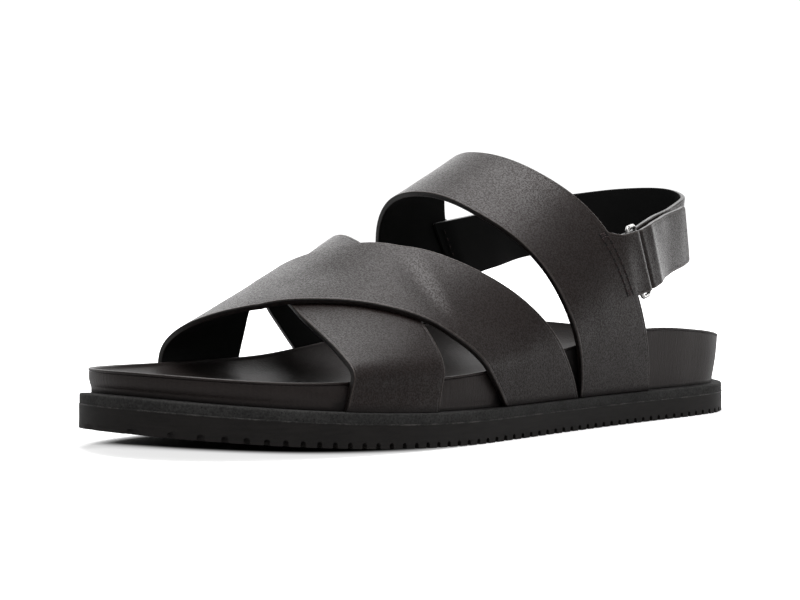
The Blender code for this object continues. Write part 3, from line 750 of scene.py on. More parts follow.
def grow_outer_wing(leather, row):
    """Wing on the outer side, folded inwards round the ring's front bar and sewn to itself."""
    parts = [step / WING_STEPS for step in range(WING_STEPS + 1)]
    for reach in np.linspace(0, 1, 19)[1:]:
        near = []
        far = []
        for part, (across, along) in zip(parts, wing_places(OUTER_WING, reach)):
            back = along - wing_end(OUTER_WING, part)[1]
            near.append(wing_point(across, part, back, 0.0))
            far.append(wing_point(across, part, back, STRAP_DEPTH))
        row = leather.add_row(near, far, row)
    for turn in np.linspace(0, math.pi, 17)[1:]:
        skins = [fold_row(radius * math.sin(turn), radius * math.cos(turn))
                 for radius in (SKIN, SKIN + STRAP_DEPTH)]
        row = leather.add_row(*skins, row)
    for back in np.linspace(0, WING_RETURN.rows[-1, 0], 16)[1:]:
        lift = float(WING_RETURN.at("lift", back))
        skins = []
        for depth in (lift, lift - STRAP_DEPTH):
            skins.append([wing_point(wing_end(OUTER_WING, part)[0], part, -back, depth)
                          for part in parts])
        row = leather.add_row(*skins, row)


def instep_strap(finishes):
    """Band over the instep; its inner wing holds the heel strap, its outer wing the ring."""
    outer = wing_starts(OUTER_WING)
    inner = wing_starts(INNER_WING)[::-1]
    before = np.linspace(-1, outer[0], 25)[:-1]
    between = np.linspace(outer[-1], inner[0], 61)[1:-1]
    beyond = np.linspace(inner[-1], 1, 27)[1:]
    stations = np.concatenate([before, outer, between, inner, beyond])
    leather = Leather()
    rows = grow_band(leather, INSTEP_BAND, stations, INSTEP_COLUMNS, no_lift)
    leather.tucked = set(rows[0] + rows[-1])
    rear = [row[-1] for row in rows]
    outer_start = len(before)
    inner_start = outer_start + len(outer) + len(between)
    grow_outer_wing(leather, rear[outer_start:outer_start + len(outer)])
    grow_inner_wing(leather, rear[inner_start:inner_start + len(inner)][::-1])
    leather.strap("instep_strap_leather", "instep_strap", finishes)


# ------------------------ ring and heel strap
CORNER_STEPS = 10
WIRE_SIDES = 20


def ring(finishes):
    """Rectangular loop of round wire with rounded corners."""
    half_length = (RING_INSIDE_LENGTH + WIRE) / 2 - RING_CORNER
    half_width = math.dist(RING.front_bar, RING.rear_bar) / 2 - RING_CORNER
    middle = (RING.front_bar + RING.rear_bar) / 2
    points = []
    for quarter, (side, end) in enumerate(((1, 1), (-1, 1), (-1, -1), (1, -1))):
        for step in range(CORNER_STEPS + 1):
            turn = math.pi / 2 * (quarter + step / CORNER_STEPS)
            back = side * half_width + RING_CORNER * math.cos(turn)
            up = end * half_length + RING_CORNER * math.sin(turn)
            away = RING.ring_back * math.cos(turn) + RING.up * math.sin(turn)
            centre = middle + RING.ring_back * back + RING.up * up
            points += circle(centre, away, RING.ring_out, SHOWN_WIRE / 2, WIRE_SIDES)
    rings = len(points) // WIRE_SIDES
    faces = stack_faces(0, rings, WIRE_SIDES) + ring_faces((rings - 1) * WIRE_SIDES, 0, WIRE_SIDES)
    piece = finished_mesh("ring_wire", points, faces, [finishes["nickel"]])
    settle(piece, "nickel_wire", "ring")


class HeelRun:
    """The heel strap's foot-side layer, from the inner wing round the heel to the ring."""

    def __init__(self):
        rows = HEEL_STRAP.rows
        end = RING.rear_bar - RING.ring_out * (SKIN + STRAP_DEPTH / 2)
        self.knots = np.append(rows[:, 0], rows[-1, 0] + 1)
        self.middle = np.vstack([rows[:, 1:4], end])
        self.lean = np.append(rows[:, 4], rows[-1, 4])

    def centre(self, step):
        """Middle of the layer at a step."""
        return np.array([float(smooth(self.knots, self.middle[:, axis], step)) for axis in range(3)])

    def axes(self, step):
        """Directions up across the strap and out from the foot."""
        run = unit(self.centre(step + 0.02) - self.centre(step - 0.02))
        upright = np.array([0.0, 0.0, 1.0])
        out = unit(np.cross(upright, run))
        up = upright - out * float(smooth(self.knots, self.lean, step))
        near_ring = ease(step - self.knots[-2])
        up = unit(up) * (1 - near_ring) + RING.up * near_ring
        up = unit(up - run * np.dot(up, run) * (1 - near_ring))
        out = unit(np.cross(up, run)) * (1 - near_ring) + RING.ring_out * near_ring
        return up, unit(out)

    def across_strap(self, step, out_from_middle, offsets):
        """Points across the strap at a step, out from the layer's middle."""
        up, out = self.axes(step)
        start = self.centre(step) + out * out_from_middle
        return [start + up * offset for offset in offsets]

    def step_back(self, length):
        """The step at which the strap is this long, measured back from the ring."""
        steps = np.linspace(self.knots[-1], self.knots[0], 361)
        centres = np.array([self.centre(step) for step in steps])
        runs = np.append(0.0, np.cumsum(np.linalg.norm(np.diff(centres, axis=0), axis=1)))
        return float(np.interp(length, runs, steps))


RUN = HeelRun()
STRAP_OFFSETS = np.linspace(-0.5, 0.5, HEEL_COLUMNS)


def under_wing(points, step, lift):
    """Moves the strap's first stretch against the foot side of the instep strap's inner wing."""
    slant = 1 - ease(step / WING_STRETCH)
    moved = []
    for point, level in zip(points, np.linspace(-1, 1, len(points))):
        along = point[1] - (START_REACH + START_SLANT * level) * slant
        x, z, _ = LAST_FORM.side(along, "inner")
        beside = np.interp(point[2], z, x) - lift
        part = ease(step - WING_STRETCH)
        moved.append(np.array([beside + (point[0] - beside) * part, along, point[2]]))
    return moved


def heel_strap(finishes):
    """Strap round the heel, through the ring and folded back on itself as a flap."""
    half = STRAP_DEPTH / 2
    offsets = STRAP_OFFSETS * HEEL_STRAP_WIDTH
    leather = Leather()
    row = None
    for step in np.linspace(RUN.knots[0], RUN.knots[-1], HEEL_ROWS):
        depth = STRAP_DEPTH * (START_SKIVED + (1 - START_SKIVED) * ease(step / 0.3))
        near = under_wing(RUN.across_strap(step, -half, offsets), step, -UNDER_WING - depth)
        far = under_wing(RUN.across_strap(step, half, offsets), step, -UNDER_WING)
        row = leather.add_row(near, far, row)
    leather.turned = len(leather.faces)
    for turn in np.linspace(0, math.pi, 19)[1:-1]:
        away = RING.ring_back * math.sin(turn) + RING.ring_out * math.cos(turn)
        skins = [[RING.rear_bar - away * radius + RING.up * up for up in offsets]
                 for radius in (SKIN + STRAP_DEPTH, SKIN)]
        row = leather.add_row(*skins, row)
    flap = HEEL_LAYERS - half
    end = RUN.step_back(FLAP_LENGTH)
    for step in np.linspace(RUN.knots[-1], end, FLAP_ROWS):
        left = FLAP_LENGTH * (step - end) / (RUN.knots[-1] - end)
        bend = float(FLAP_BEND.at("out", FLAP_LENGTH - left))
        cut = FLAP_CORNER - math.sqrt(max(FLAP_CORNER ** 2 - max(FLAP_CORNER - left, 0) ** 2, 0))
        narrowed = STRAP_OFFSETS * (HEEL_STRAP_WIDTH - cut * CORNER_WIDTH)
        row = leather.add_row(RUN.across_strap(step, flap + bend + STRAP_DEPTH, narrowed),
                              RUN.across_strap(step, flap + bend, narrowed), row)
    leather.strap("heel_strap_leather", "heel_strap", finishes)


def fastener_pad(name, node, out_from_middle, finish):
    """One pad of the hook-and-loop fastener between the heel strap's two layers."""
    offsets = np.linspace(-0.5, 0.5, PAD_COLUMNS) * FASTENER_WIDTH
    leather = Leather()
    row = None
    for step in np.linspace(RUN.step_back(FASTENER_START), RUN.step_back(FASTENER_END), PAD_ROWS):
        row = leather.add_row(RUN.across_strap(step, out_from_middle, offsets),
                              RUN.across_strap(step, out_from_middle + FASTENER_DEPTH, offsets), row)
    piece = leather.piece(name, finish, finish, finish, FASTENER_ROUND)
    settle(piece, "fastener_nylon", node)


# ------------------------ sole pieces
def outsole_body(finishes):
    """Body of the outsole, over the ribs, with the joint strip at its upper edge."""
    lifted = round_sole(spring)
    ground = round_sole(ground_rise) + GROOVE_DEPTH
    top = SOLE_DEPTH - MIDSOLE_DEPTH
    rows = [raised(inset_loop(BODY_INSET), ground), raised(inset_loop(0.0), ground)]
    rows += [raised(inset_loop(inset), lifted + top + height) for inset, height in OUTSOLE_EDGE]
    points, faces = stacked(rows)
    count = 2 * LOOP_STEPS
    joint_strips = len(OUTSOLE_EDGE) - 1
    slots = [0] * (len(faces) - joint_strips * count) + [1] * (joint_strips * count)
    piece = finished_mesh("outsole_rubber", points, faces, [finishes["outsole"], finishes["joint"]], slots)
    settle(piece, "outsole_rubber", "outsole")


def outsole_ripples(finishes):
    """A rib for each land of the ripple tread."""
    toe_end = -TIP + RIB_INSET
    heel_end = TIP - RIB_INSET
    edges = [toe_end, *TOE_GROOVE]
    for k in range(GROOVE_COUNT):
        middle = FIRST_GROOVE + k * RIPPLE_PITCH
        edges += [middle - GROOVE_WIDTH / 2, middle + GROOVE_WIDTH / 2]
    edges.append(heel_end)
    points = []
    faces = []
    levels = len(GROOVE_SECTION)
    for start, end in zip(edges[::2], edges[1::2]):
        base = len(points)
        for height, flare in GROOVE_SECTION:
            along = np.linspace(max(start - flare, toe_end), min(end + flare, heel_end), 7)
            loop = edge_points("outer", along) + edge_points("inner", along[::-1])
            points += [(x, y, ground_rise(y) + height) for x, y in loop]
        faces += end_faces(base, levels, len(loop)) + stack_faces(base, levels, len(loop))
    ribs = finished_mesh("outsole_ripples", points, faces, [finishes["outsole"]])
    settle(ribs, "outsole_rubber")


def midsole(finishes):
    """Thin top layer of the sole, with a softly rounded upper edge and a ledge."""
    bottom = SOLE_DEPTH - MIDSOLE_DEPTH + LAYER_CLEAR
    section = [(inset, bottom + height) for inset, height in MIDSOLE_FOOT]
    section += [(inset, SOLE_DEPTH + height) for inset, height in MIDSOLE_EDGE]
    points, faces = stacked([raised(inset_loop(inset), round_sole(spring) + height)
                             for inset, height in section])
    piece = finished_mesh("midsole_rubber", points, faces, [finishes["midsole"]])
    settle(piece, "midsole_rubber", "midsole")


def between_straps(shade_reach=0.0):
    """1 at points round the sole where the wall gets painted shade: among the straps, or within shade_reach
    before them.
    """
    found = []
    for side, along in zip(LOOP_SIDES, SOLE_LOOP[:, 1]):
        across = -1.0 if side == "outer" else 1.0
        lower, upper = (LOWER_BAND, UPPER_BAND) if side == "outer" else (UPPER_BAND, LOWER_BAND)
        covered = 0.0
        for start, end in ((lower.at("front", across), lower.at("rear", across)),
                           (upper.at("front", across), INSTEP_BAND.at("rear", across))):
            covered = max(covered, rise(along, start - shade_reach, 2) * rise(along, end, -2))
        found.append(covered)
    return np.array(found)


def footbed_sizes(name):
    """A size of the footbed that differs between its two sides, at each point round the sole."""
    places = zip(LOOP_SIDES, SOLE_LOOP[:, 1])
    return np.array([FOOTBED.at(side + name, along) for side, along in places])


def footbed(finishes):
    """Insole with a raised rim, a heel cup and an arch, wrapped in leather."""
    floor = round_sole(footbed_floor)
    insets = footbed_sizes("_inset")
    rims = footbed_sizes("_rim")
    beds = round_sole(lambda along: FOOTBED.at("bed", along))
    rows = [raised(inset_loop(WALL_UNDER[0]), floor + WALL_UNDER[1])]
    # Painted shade for each row, kept in the shade attribute: full on the underside, dark at the wall's
    # foot, and on the wall among the straps.
    shades = [np.ones(len(floor))]
    for inset, height, shade in WALL_BASE:
        rows.append(raised(inset_loop(WALL_INSET + inset), floor + height))
        shades.append(np.maximum(shade, between_straps(WALL_FOOT_SHADE_REACH)))
    top = rims - LIP_HEIGHT
    base = WALL_BASE[-1][1]
    for part in np.linspace(0, 1, 11)[1:]:
        lean = (insets + 0.1 - WALL_INSET) * part - WALL_SWELL * math.sin(math.pi * part)
        rows.append(raised(inset_loop(WALL_INSET + lean), floor + base + (top - base) * part))
        shades.append(between_straps(WALL_FOOT_SHADE_REACH * (1 - ease(part / 0.7))))
    for inset, height in LIP:
        rows.append(raised(inset_loop(insets + inset), floor + rims + height))
        shades.append(between_straps() * 0.5)
    wall_rows = len(rows)
    lip = inset_loop(insets + BED_INSET)
    spine_along = SOLE_LOOP[:, 1] * SPINE_LENGTH
    spine_x = [(edge_x("outer", y) + edge_x("inner", y)) / 2 for y in spine_along]
    spine = np.column_stack([spine_x, spine_along])
    for reach in 1 - 0.96 * np.linspace(0, 1, 24) ** 1.7:
        loop = spine + (lip - spine) * reach
        loop_floor = np.array([footbed_floor(y) for y in loop[:, 1]])
        dish = beds + (rims - BED_DROP - beds) * sum(share * reach ** power for share, power in DISH)
        rows.append(raised(loop, loop_floor + dish))
        shades.append(np.zeros(len(floor)))
    points, faces = stacked(rows)
    count = 2 * LOOP_STEPS
    slots = [0] * LOOP_STEPS + [1] * LOOP_STEPS
    slots += [0] * ((wall_rows - 1) * count) + [1] * ((len(rows) - wall_rows) * count)
    piece = finished_mesh("footbed_leather", points, faces, [finishes["footbed"], finishes["bed"]],
                          slots, crease=60)
    write_attribute(piece, "shade", np.concatenate(shades))
    settle(piece, "footbed_leather", "footbed")


# ------------------------ sewing
STITCH_PITCH = 3.0
STITCH_LENGTH = 2.0
ROW_SPACING = 3.0
TACK_PITCH = 3.4
TACK_LENGTH = 3.0
TACK_WIDTH = 1.6            # of a bar tack, as a part of the row spacing
THREAD = 0.5
STITCH_BOW = 0.24
STITCH_SUNK = 0.14          # how deep its ends go
NEEDLE_HOLE = 0.44          # radius
HOLE_LIFTS = (0.02, 0.05)   # of a hole's disc over the leather, at its bottom and top
HOLE_SHIFT = 0.18           # of a hole past its stitch's end

# Ends of the twin rows on each wing: across and along.
OUTER_SEAM = ((-0.711, 52.2), (-0.532, 44.0))
INNER_SEAM = ((0.555, 44.4), (0.398, 37.0))


def stitch(points, faces, start, end, out):
    """One stitch: a short bowed thread whose ends go down into the leather."""
    aside = unit(np.cross(out, unit(end - start)))
    sides = 8
    rows = 7
    base = len(points)
    for row in range(rows):
        part = row / (rows - 1)
        bow = math.sin(math.pi * part)
        centre = start + (end - start) * part + out * (bow ** 0.6 * STITCH_BOW - STITCH_SUNK)
        points += circle(centre, aside, out, THREAD / 2 * (0.72 + 0.28 * bow), sides)
    faces += stack_faces(base, rows, sides) + end_faces(base, rows, sides)


def needle_hole_shade(points, faces, centre, run, out):
    """A dark disc just over the leather where the needle went through: painted shade of the hole."""
    aside = unit(np.cross(out, run))
    sides = 10
    base = len(points)
    for lift in HOLE_LIFTS:
        points += circle(centre + out * lift, run, aside, NEEDLE_HOLE, sides)
    faces += stack_faces(base, 2, sides) + end_faces(base, 2, sides)


def along_run(places, reach, where):
    """Point of a run this far along it; reach is how far along each of its places is."""
    return np.array([np.interp(where, reach, places[:, axis]) for axis in range(3)])


def seam(name, runs, finishes):
    """A piece with a row of stitches along each run; a run gives points with their outward side."""
    points = []
    faces = []
    slots = []
    for places, outs, pitch, length in runs:
        places = np.array(places)
        gaps = np.linalg.norm(np.diff(places, axis=0), axis=1)
        reach = np.append(0.0, np.cumsum(gaps))
        count = max(1, int(reach[-1] / pitch))
        for k in range(count):
            middle = (k + 0.5) * reach[-1] / count
            out = unit(along_run(np.array(outs), reach, middle))
            start = along_run(places, reach, middle - length / 2)
            end = along_run(places, reach, middle + length / 2)
            stitch(points, faces, start, end, out)
            slots += [0] * (len(faces) - len(slots))
            run = unit(end - start)
            # Dark discs at both ends of the stitch: painted shade of the needle holes.
            needle_hole_shade(points, faces, start - run * HOLE_SHIFT, run, out)
            needle_hole_shade(points, faces, end + run * HOLE_SHIFT, run, out)
            slots += [1] * (len(faces) - len(slots))
    piece = finished_mesh(name, points, faces, [finishes["thread"], finishes["lining"]], slots)
    settle(piece, "strap_leather")


def last_run(places, lift, inwards=False):
    """A run of points over the last with their outward side, from across and along places."""
    points = [on_last(across, along, lift) for across, along in places]
    outs = [LAST_FORM.at(across, along, 1) - LAST_FORM.at(across, along) for across, along in places]
    if inwards:
        outs = [-out for out in outs]
    return points, outs


def straight(start, end, count=24):
    """Places evenly between two places."""
    return [start + (end - start) * k / (count - 1) for k in range(count)]


def twin_rows(ends, lift):
    """Runs of two rows of stitches side by side, with a bar tack across each of their ends."""
    low, high = np.array(ends)
    aside = np.array([0.0, ROW_SPACING / 2])
    runs = []
    for shift in (-aside, aside):
        runs.append((*last_run(straight(low + shift, high + shift), lift), STITCH_PITCH, STITCH_LENGTH))
    for end, inward in ((low, (high - low) / 30), (high, (low - high) / 30)):
        for k in (-1, 0, 1):
            here = end + inward * k
            places = straight(here - aside * TACK_WIDTH, here + aside * TACK_WIDTH, 5)
            runs.append((*last_run(places, lift), TACK_PITCH, TACK_LENGTH))
    return runs


def sewing(finishes):
    """Twin rows across each wing, and one row on the lining of the inner wing."""
    seam("outer_wing_stitches", twin_rows(OUTER_SEAM, STRAP_DEPTH), finishes)
    runs = twin_rows(INNER_SEAM, STRAP_DEPTH)
    places = last_run(straight(*np.array(INNER_SEAM)), -UNDER_WING - STRAP_DEPTH * 0.8, True)
    runs.append((*places, STITCH_PITCH, STITCH_LENGTH * 0.6))
    seam("inner_wing_stitches", runs, finishes)


# ------------------------ materials
class Value:
    """A number that varies over a surface; arithmetic on it adds nodes to its finish."""

    def __init__(self, finish, output):
        self.finish = finish
        self.output = output

    def math(self, operation, *inputs):
        return self.finish.value("Math", {"operation": operation}, dict(enumerate(inputs)))

    def __add__(self, other):
        return self.math("ADD", self, other)

    __radd__ = __add__

    def __mul__(self, other):
        return self.math("MULTIPLY", self, other)

    __rmul__ = __mul__

    def __sub__(self, other):
        return self.math("SUBTRACT", self, other)

    def __rsub__(self, other):
        return self.math("SUBTRACT", other, self)

    def step(self, low, high):
        """0 below low, 1 above high and a soft step between."""
        return self.finish.value(
            "MapRange", {"interpolation_type": "SMOOTHSTEP"},
            {"Value": self, "From Min": low, "From Max": high}, "Result")


class Finish:
    """A material under work, with its shader."""

    def __init__(self, name, **constants):
        self.material = bpy.data.materials.new(name)
        self.material.use_nodes = True
        self.tree = self.material.node_tree
        self.shader = self.tree.nodes["Principled BSDF"]
        for socket, constant in constants.items():
            self.plug(self.shader.inputs[socket.replace("_", " ")], constant)

    def plug(self, socket, given):
        """Gives a socket a number or colour, or links a value or another node's output."""
        if isinstance(given, Value):
            self.tree.links.new(given.output, socket)
        elif isinstance(given, bpy.types.NodeSocket):
            self.tree.links.new(given, socket)
        elif isinstance(given, tuple) and len(given) == 3 and socket.type == "RGBA":
            socket.default_value = (*given, 1.0)
        else:
            socket.default_value = given

    def node(self, kind, settings=None, inputs=None):
        node = self.tree.nodes.new("ShaderNode" + kind)
        for name, setting in (settings or {}).items():
            setattr(node, name, setting)
        for name, given in (inputs or {}).items():
            self.plug(node.inputs[name], given)
        return node

    def value(self, kind, settings=None, inputs=None, output=0):
        return Value(self, self.node(kind, settings, inputs).outputs[output])

    def place(self, stretch=(1, 1, 1)):
        """The shoe's own coordinates in millimetres, stretched along its axes."""
        coordinates = self.node("TexCoord").outputs["Object"]
        scale = tuple(1 / (MM * part) for part in stretch)
        mapping = self.node("Mapping", None, {"Vector": coordinates, "Scale": scale})
        return mapping.outputs["Vector"]

    def noise(self, size, detail=3.0, roughness=0.55, place=None):
        """Cloudy noise whose patches are about this many millimetres wide."""
        return self.value("TexNoise", None, {
            "Vector": place or self.place(), "Scale": 1 / size, "Detail": detail,
            "Roughness": roughness}, "Fac")

    def pebbles(self, size, place=None):
        """Distance from the middle of each of many small cells."""
        return self.value("TexVoronoi", {"feature": "F1"}, {
            "Vector": place or self.place(), "Scale": 1 / size}, "Distance")

    def mix(self, part, first, second):
        """Colour between two colours."""
        node = self.node("Mix", {"data_type": "RGBA"})
        self.plug(node.inputs["Factor"], part)
        for socket, given in zip([s for s in node.inputs if s.type == "RGBA"], (first, second)):
            self.plug(socket, given)
        return [s for s in node.outputs if s.type == "RGBA"][0]

    def attribute(self, name):
        """A number stored on the points of the mesh."""
        return self.value("Attribute", {"attribute_name": name}, None, "Fac")

    def set(self, socket, given):
        self.plug(self.shader.inputs[socket], given)

    def colour(self, part, first, second):
        """Base colour between two colours."""
        self.set("Base Color", self.mix(part, first, second))

    def done(self, roughness, height, depth, strength):
        """The material, with its roughness and bumps; the depth in millimetres is for heights of 1."""
        self.set("Roughness", roughness)
        bump = self.node("Bump", None, {
            "Strength": strength, "Distance": depth * MM, "Height": height})
        self.set("Normal", bump.outputs["Normal"])
        return self.material


def grain_height(finish, size):
    """Leather grain: small pebbles with fine pores between them."""
    wander = finish.noise(size * 6, 2.0)
    pebble = 1 - finish.pebbles(size) * 1.1
    fine = finish.noise(size * 0.45, 4.0, 0.6)
    return pebble * (0.55 + wander * 0.35) + fine * 0.45


def strap_leather():
    """Dark brown satin leather with fine grain, a painted highlight along its rims, and painted shade at
    its ends in the sole.
    """
    finish = Finish("brown_strap_leather", Specular_IOR_Level=0.34, Specular_Tint=(1.0, 0.93, 0.925),
                    Coat_Roughness=0.33)
    rim = finish.attribute("rim_distance")
    # 1 clear of the painted shade at the strap ends that go into the sole, 0 at those ends.
    out_of_tuck_shade = finish.attribute("tuck_distance").step(0.4, 3.6)
    cloud = finish.noise(22, 3.0)
    mottle = finish.noise(3.2, 5.0, 0.65)
    pores = grain_height(finish, 0.48)
    tone = cloud * 0.3 + mottle * 0.2 + pores * 0.5
    brown = finish.mix(tone.step(0.35, 0.75), (0.0110, 0.0066, 0.0056), (0.0214, 0.0140, 0.0120))
    # Painted highlight: a pale strip a little in from the rims, where the rounded edges catch the light.
    line = (rim.step(0.1, 0.35) - rim.step(0.45, 0.8)) * (0.25 + mottle * 0.5)
    lit = finish.mix(line, brown, (0.105, 0.086, 0.077))
    # Painted shade: near black towards the strap ends that go down into the sole.
    finish.colour(out_of_tuck_shade, (0.0050, 0.0034, 0.0030), lit)
    finish.set("Coat Weight", finish.noise(0.6, 2.0, 0.6).step(0.42, 0.58) * out_of_tuck_shade * 0.6)
    crease = rim.step(0.8, 1.2) - rim.step(1.2, 1.6)
    roughness = 0.24 + mottle * 0.05 + (1 - pores) * 0.24 - line * 0.05 + (1 - out_of_tuck_shade) * 0.2
    return finish.done(roughness, pores - crease * 0.9, 0.11, 0.8)


def black_lining():
    """Matt black lining with a fine nap."""
    finish = Finish("black_lining", Specular_IOR_Level=0.25)
    cloud = finish.noise(9, 4.0, 0.6)
    finish.colour(cloud.step(0.3, 0.7), (0.0038, 0.0038, 0.0038), (0.0064, 0.0063, 0.0062))
    return finish.done(0.62 + cloud * 0.16, finish.noise(0.5, 4.0, 0.7) + cloud * 1.5, 0.06, 0.6)


def edge_paint():
    """Dark edge paint, a little glossy and uneven."""
    finish = Finish("edge_paint", Specular_IOR_Level=0.75)
    fibre = finish.noise(0.9, 4.0, 0.6)
    finish.colour(fibre.step(0.35, 0.7), (0.007, 0.005, 0.0043), (0.015, 0.011, 0.010))
    return finish.done(0.22 + fibre * 0.16, fibre + finish.noise(0.3, 3.0), 0.06, 0.6)


def footbed_wrap():
    """Brown leather of the footbed, drawn down its wall in fine upright streaks, near black where painted
    shade falls.
    """
    finish = Finish("footbed_wrap", Specular_IOR_Level=0.5, Specular_Tint=(1.0, 0.92, 0.91))
    shade = finish.attribute("shade")
    cloud = finish.noise(16, 3.0)
    mottle = finish.noise(2.6, 5.0, 0.65)
    drawn = finish.noise(0.9, 3.0, 0.65, finish.place((1, 1, 14)))
    pores = grain_height(finish, 0.7)
    tone = cloud * 0.3 + mottle * 0.2 + drawn * 0.4 + pores * 0.1
    brown = finish.mix(tone.step(0.32, 0.68), (0.0105, 0.0072, 0.0064), (0.0215, 0.0155, 0.0138))
    # Painted shade: near black where the shade attribute says, at the wall's foot and among the straps.
    finish.colour(shade, brown, (0.0022, 0.0016, 0.0015))
    roughness = 0.27 + mottle * 0.06 + drawn * 0.12 + shade * 0.3
    return finish.done(roughness, pores * 0.7 + drawn * 1.8, 0.08, 0.7)


def footbed_top():
    """Soft dark brown leather that the foot rests on."""
    finish = Finish("footbed_top", Specular_IOR_Level=0.35, Specular_Tint=(1.0, 0.93, 0.92))
    cloud = finish.noise(18, 4.0, 0.6)
    mottle = finish.noise(2.4, 5.0, 0.65)
    pores = grain_height(finish, 0.8)
    tone = cloud * 0.5 + mottle * 0.25 + pores * 0.25
    finish.colour(tone.step(0.3, 0.7), (0.0082, 0.0059, 0.0053), (0.0168, 0.0126, 0.0114))
    return finish.done(0.44 + mottle * 0.1 + cloud * 0.06, pores + mottle * 0.8, 0.1, 0.7)


def midsole_foam():
    """Charcoal rubber foam: rough, speckled, with pinholes darkened by painted shade."""
    finish = Finish("midsole_foam", Specular_IOR_Level=0.3)
    speckle = finish.noise(0.8, 4.0, 0.75)
    cloud = finish.noise(9, 3.0)
    holes = finish.pebbles(1.3).step(0.12, 0.2)
    tone = (speckle * 0.7 + cloud * 0.3).step(0.35, 0.68)
    grey = finish.mix(tone, (0.020, 0.0196, 0.019), (0.064, 0.0625, 0.061))
    # Painted shade: near black in the pinholes.
    finish.colour(holes, (0.010, 0.010, 0.010), grey)
    height = speckle * 1.2 + holes * 0.6 + finish.noise(0.3, 2.0)
    return finish.done(0.68 + speckle * 0.2, height, 0.12, 0.7)


def outsole_rubber():
    """Dense dark rubber, slightly brown, with long faint moulding streaks and scuffs."""
    finish = Finish("tread_rubber", Specular_IOR_Level=0.33)
    cloud = finish.noise(14, 4.0, 0.6)
    streak = finish.noise(1.1, 3.0, 0.6, finish.place((8, 8, 1)))
    speckle = finish.noise(0.5, 3.0, 0.7)
    tone = cloud * 0.4 + streak * 0.35 + speckle * 0.25
    finish.colour(tone.step(0.34, 0.66), (0.0102, 0.0086, 0.0080), (0.0205, 0.0176, 0.0164))
    return finish.done(0.5 + cloud * 0.14 + speckle * 0.1, speckle + streak * 1.2, 0.06, 0.55)


def sole_joint():
    """Joint between the two layers of the sole, paler in patches."""
    finish = Finish("sole_joint", Specular_IOR_Level=0.4)
    patchy = finish.noise(7, 4.0, 0.7)
    speckle = finish.noise(0.9, 3.0, 0.7)
    pale = (patchy * 0.6 + speckle * 0.4).step(0.45, 0.62)
    finish.colour(pale, (0.014, 0.013, 0.0125), (0.085, 0.080, 0.076))
    return finish.done(0.45 + speckle * 0.2, speckle, 0.06, 0.6)


def nickel():
    """Polished nickel wire with fine rubbed marks."""
    finish = Finish("polished_nickel", Metallic=1.0)
    rub = finish.noise(0.8, 4.0, 0.7, finish.place((1, 1, 6)))
    finish.colour(rub.step(0.3, 0.75), (0.66, 0.65, 0.63), (0.80, 0.79, 0.78))
    return finish.done(0.12 + rub * 0.18, rub, 0.02, 0.4)


def sewing_thread():
    """Waxed dark brown-red thread with its twist."""
    finish = Finish("sewing_thread", Specular_IOR_Level=0.4)
    twist = finish.noise(0.28, 2.0)
    finish.colour(twist.step(0.35, 0.65), (0.018, 0.010, 0.010), (0.060, 0.036, 0.036))
    return finish.done(0.5 + twist * 0.2, twist, 0.08, 0.8)


def fastener(name, size, colour):
    """Nylon fastener tape: rows of hooks, or a felt of loops."""
    finish = Finish(name, Specular_IOR_Level=0.4)
    tufts = finish.pebbles(size)
    fuzz = finish.noise(size * 0.5, 4.0, 0.7)
    lit = tuple(part * 2.6 for part in colour)
    finish.colour((fuzz - tufts * 0.4).step(0.1, 0.6), colour, lit)
    return finish.done(0.7 + fuzz * 0.2, fuzz - tufts, 0.25, 0.9)


def make_finishes():
    return {
        "strap": strap_leather(),
        "lining": black_lining(),
        "edge": edge_paint(),
        "footbed": footbed_wrap(),
        "bed": footbed_top(),
        "midsole": midsole_foam(),
        "outsole": outsole_rubber(),
        "joint": sole_joint(),
        "nickel": nickel(),
        "thread": sewing_thread(),
        "hooks": fastener("hook_tape", 0.9, (0.006, 0.006, 0.006)),
        "loops": fastener("loop_tape", 0.6, (0.008, 0.008, 0.008)),
    }


# ------------------------ studio
AZIMUTH = math.radians(43.31)       # the camera's, from the toe towards the outer side
ELEVATION = math.radians(2.011)
ROLL = math.radians(0.3634)
CAMERA_PLACE = (0.4763, -0.5273, 0.0695)
CAMERA_RIGHT = Vector((math.cos(AZIMUTH), math.sin(AZIMUTH), 0.0))
CAMERA_AWAY = Vector((-math.sin(AZIMUTH), math.cos(AZIMUTH), 0.0))
LENS = 90.8
SENSOR = 36.0
SHADOW_DRAW = 4.7                   # how far the painted shadow draws back for each millimetre of toe spring
TIP_SOFTNESS = 1.6                  # how much wider its border is under the tip
TIP_FROM = -112.0                   # where its border starts to widen
TIP_REACH = 25.0
BOUNCE_REACH = 5.0
BACKDROP_RADIUS = 7.5
FLOOR_STEP = 4.0                    # of its grid round the shoe
FLOOR_NEAR = (160, 240)             # half sizes of that grid
FLOOR_FAR = [500.0, 1200.0, 5000.0]


def studio_object(name, points, faces, material):
    """A part of the studio, which isn't part of the shoe."""
    mesh = bpy.data.meshes.new(name)
    mesh.from_pydata(points, [], faces)
    mesh.materials.append(material)
    made = scene_object(name, mesh)
    return made


def show_to_camera_only(made):
    """Keeps a part of the studio from lighting or shading the shoe."""
    for rays in ("visible_diffuse", "visible_glossy", "visible_transmission", "visible_shadow"):
        setattr(made, rays, False)


def shadow_outline():
    """Outline of the painted contact shadow: under the lifted toe it draws back, out of the low light."""
    away = np.array(CAMERA_AWAY)[:2]
    facing = np.sqrt(np.maximum(SOLE_INWARD @ away, 0.0))
    moved = SOLE_LOOP + away * (SHADOW_DRAW * round_sole(spring) * facing)[:, None]
    return moved - (CENTRE_X, 0.0)


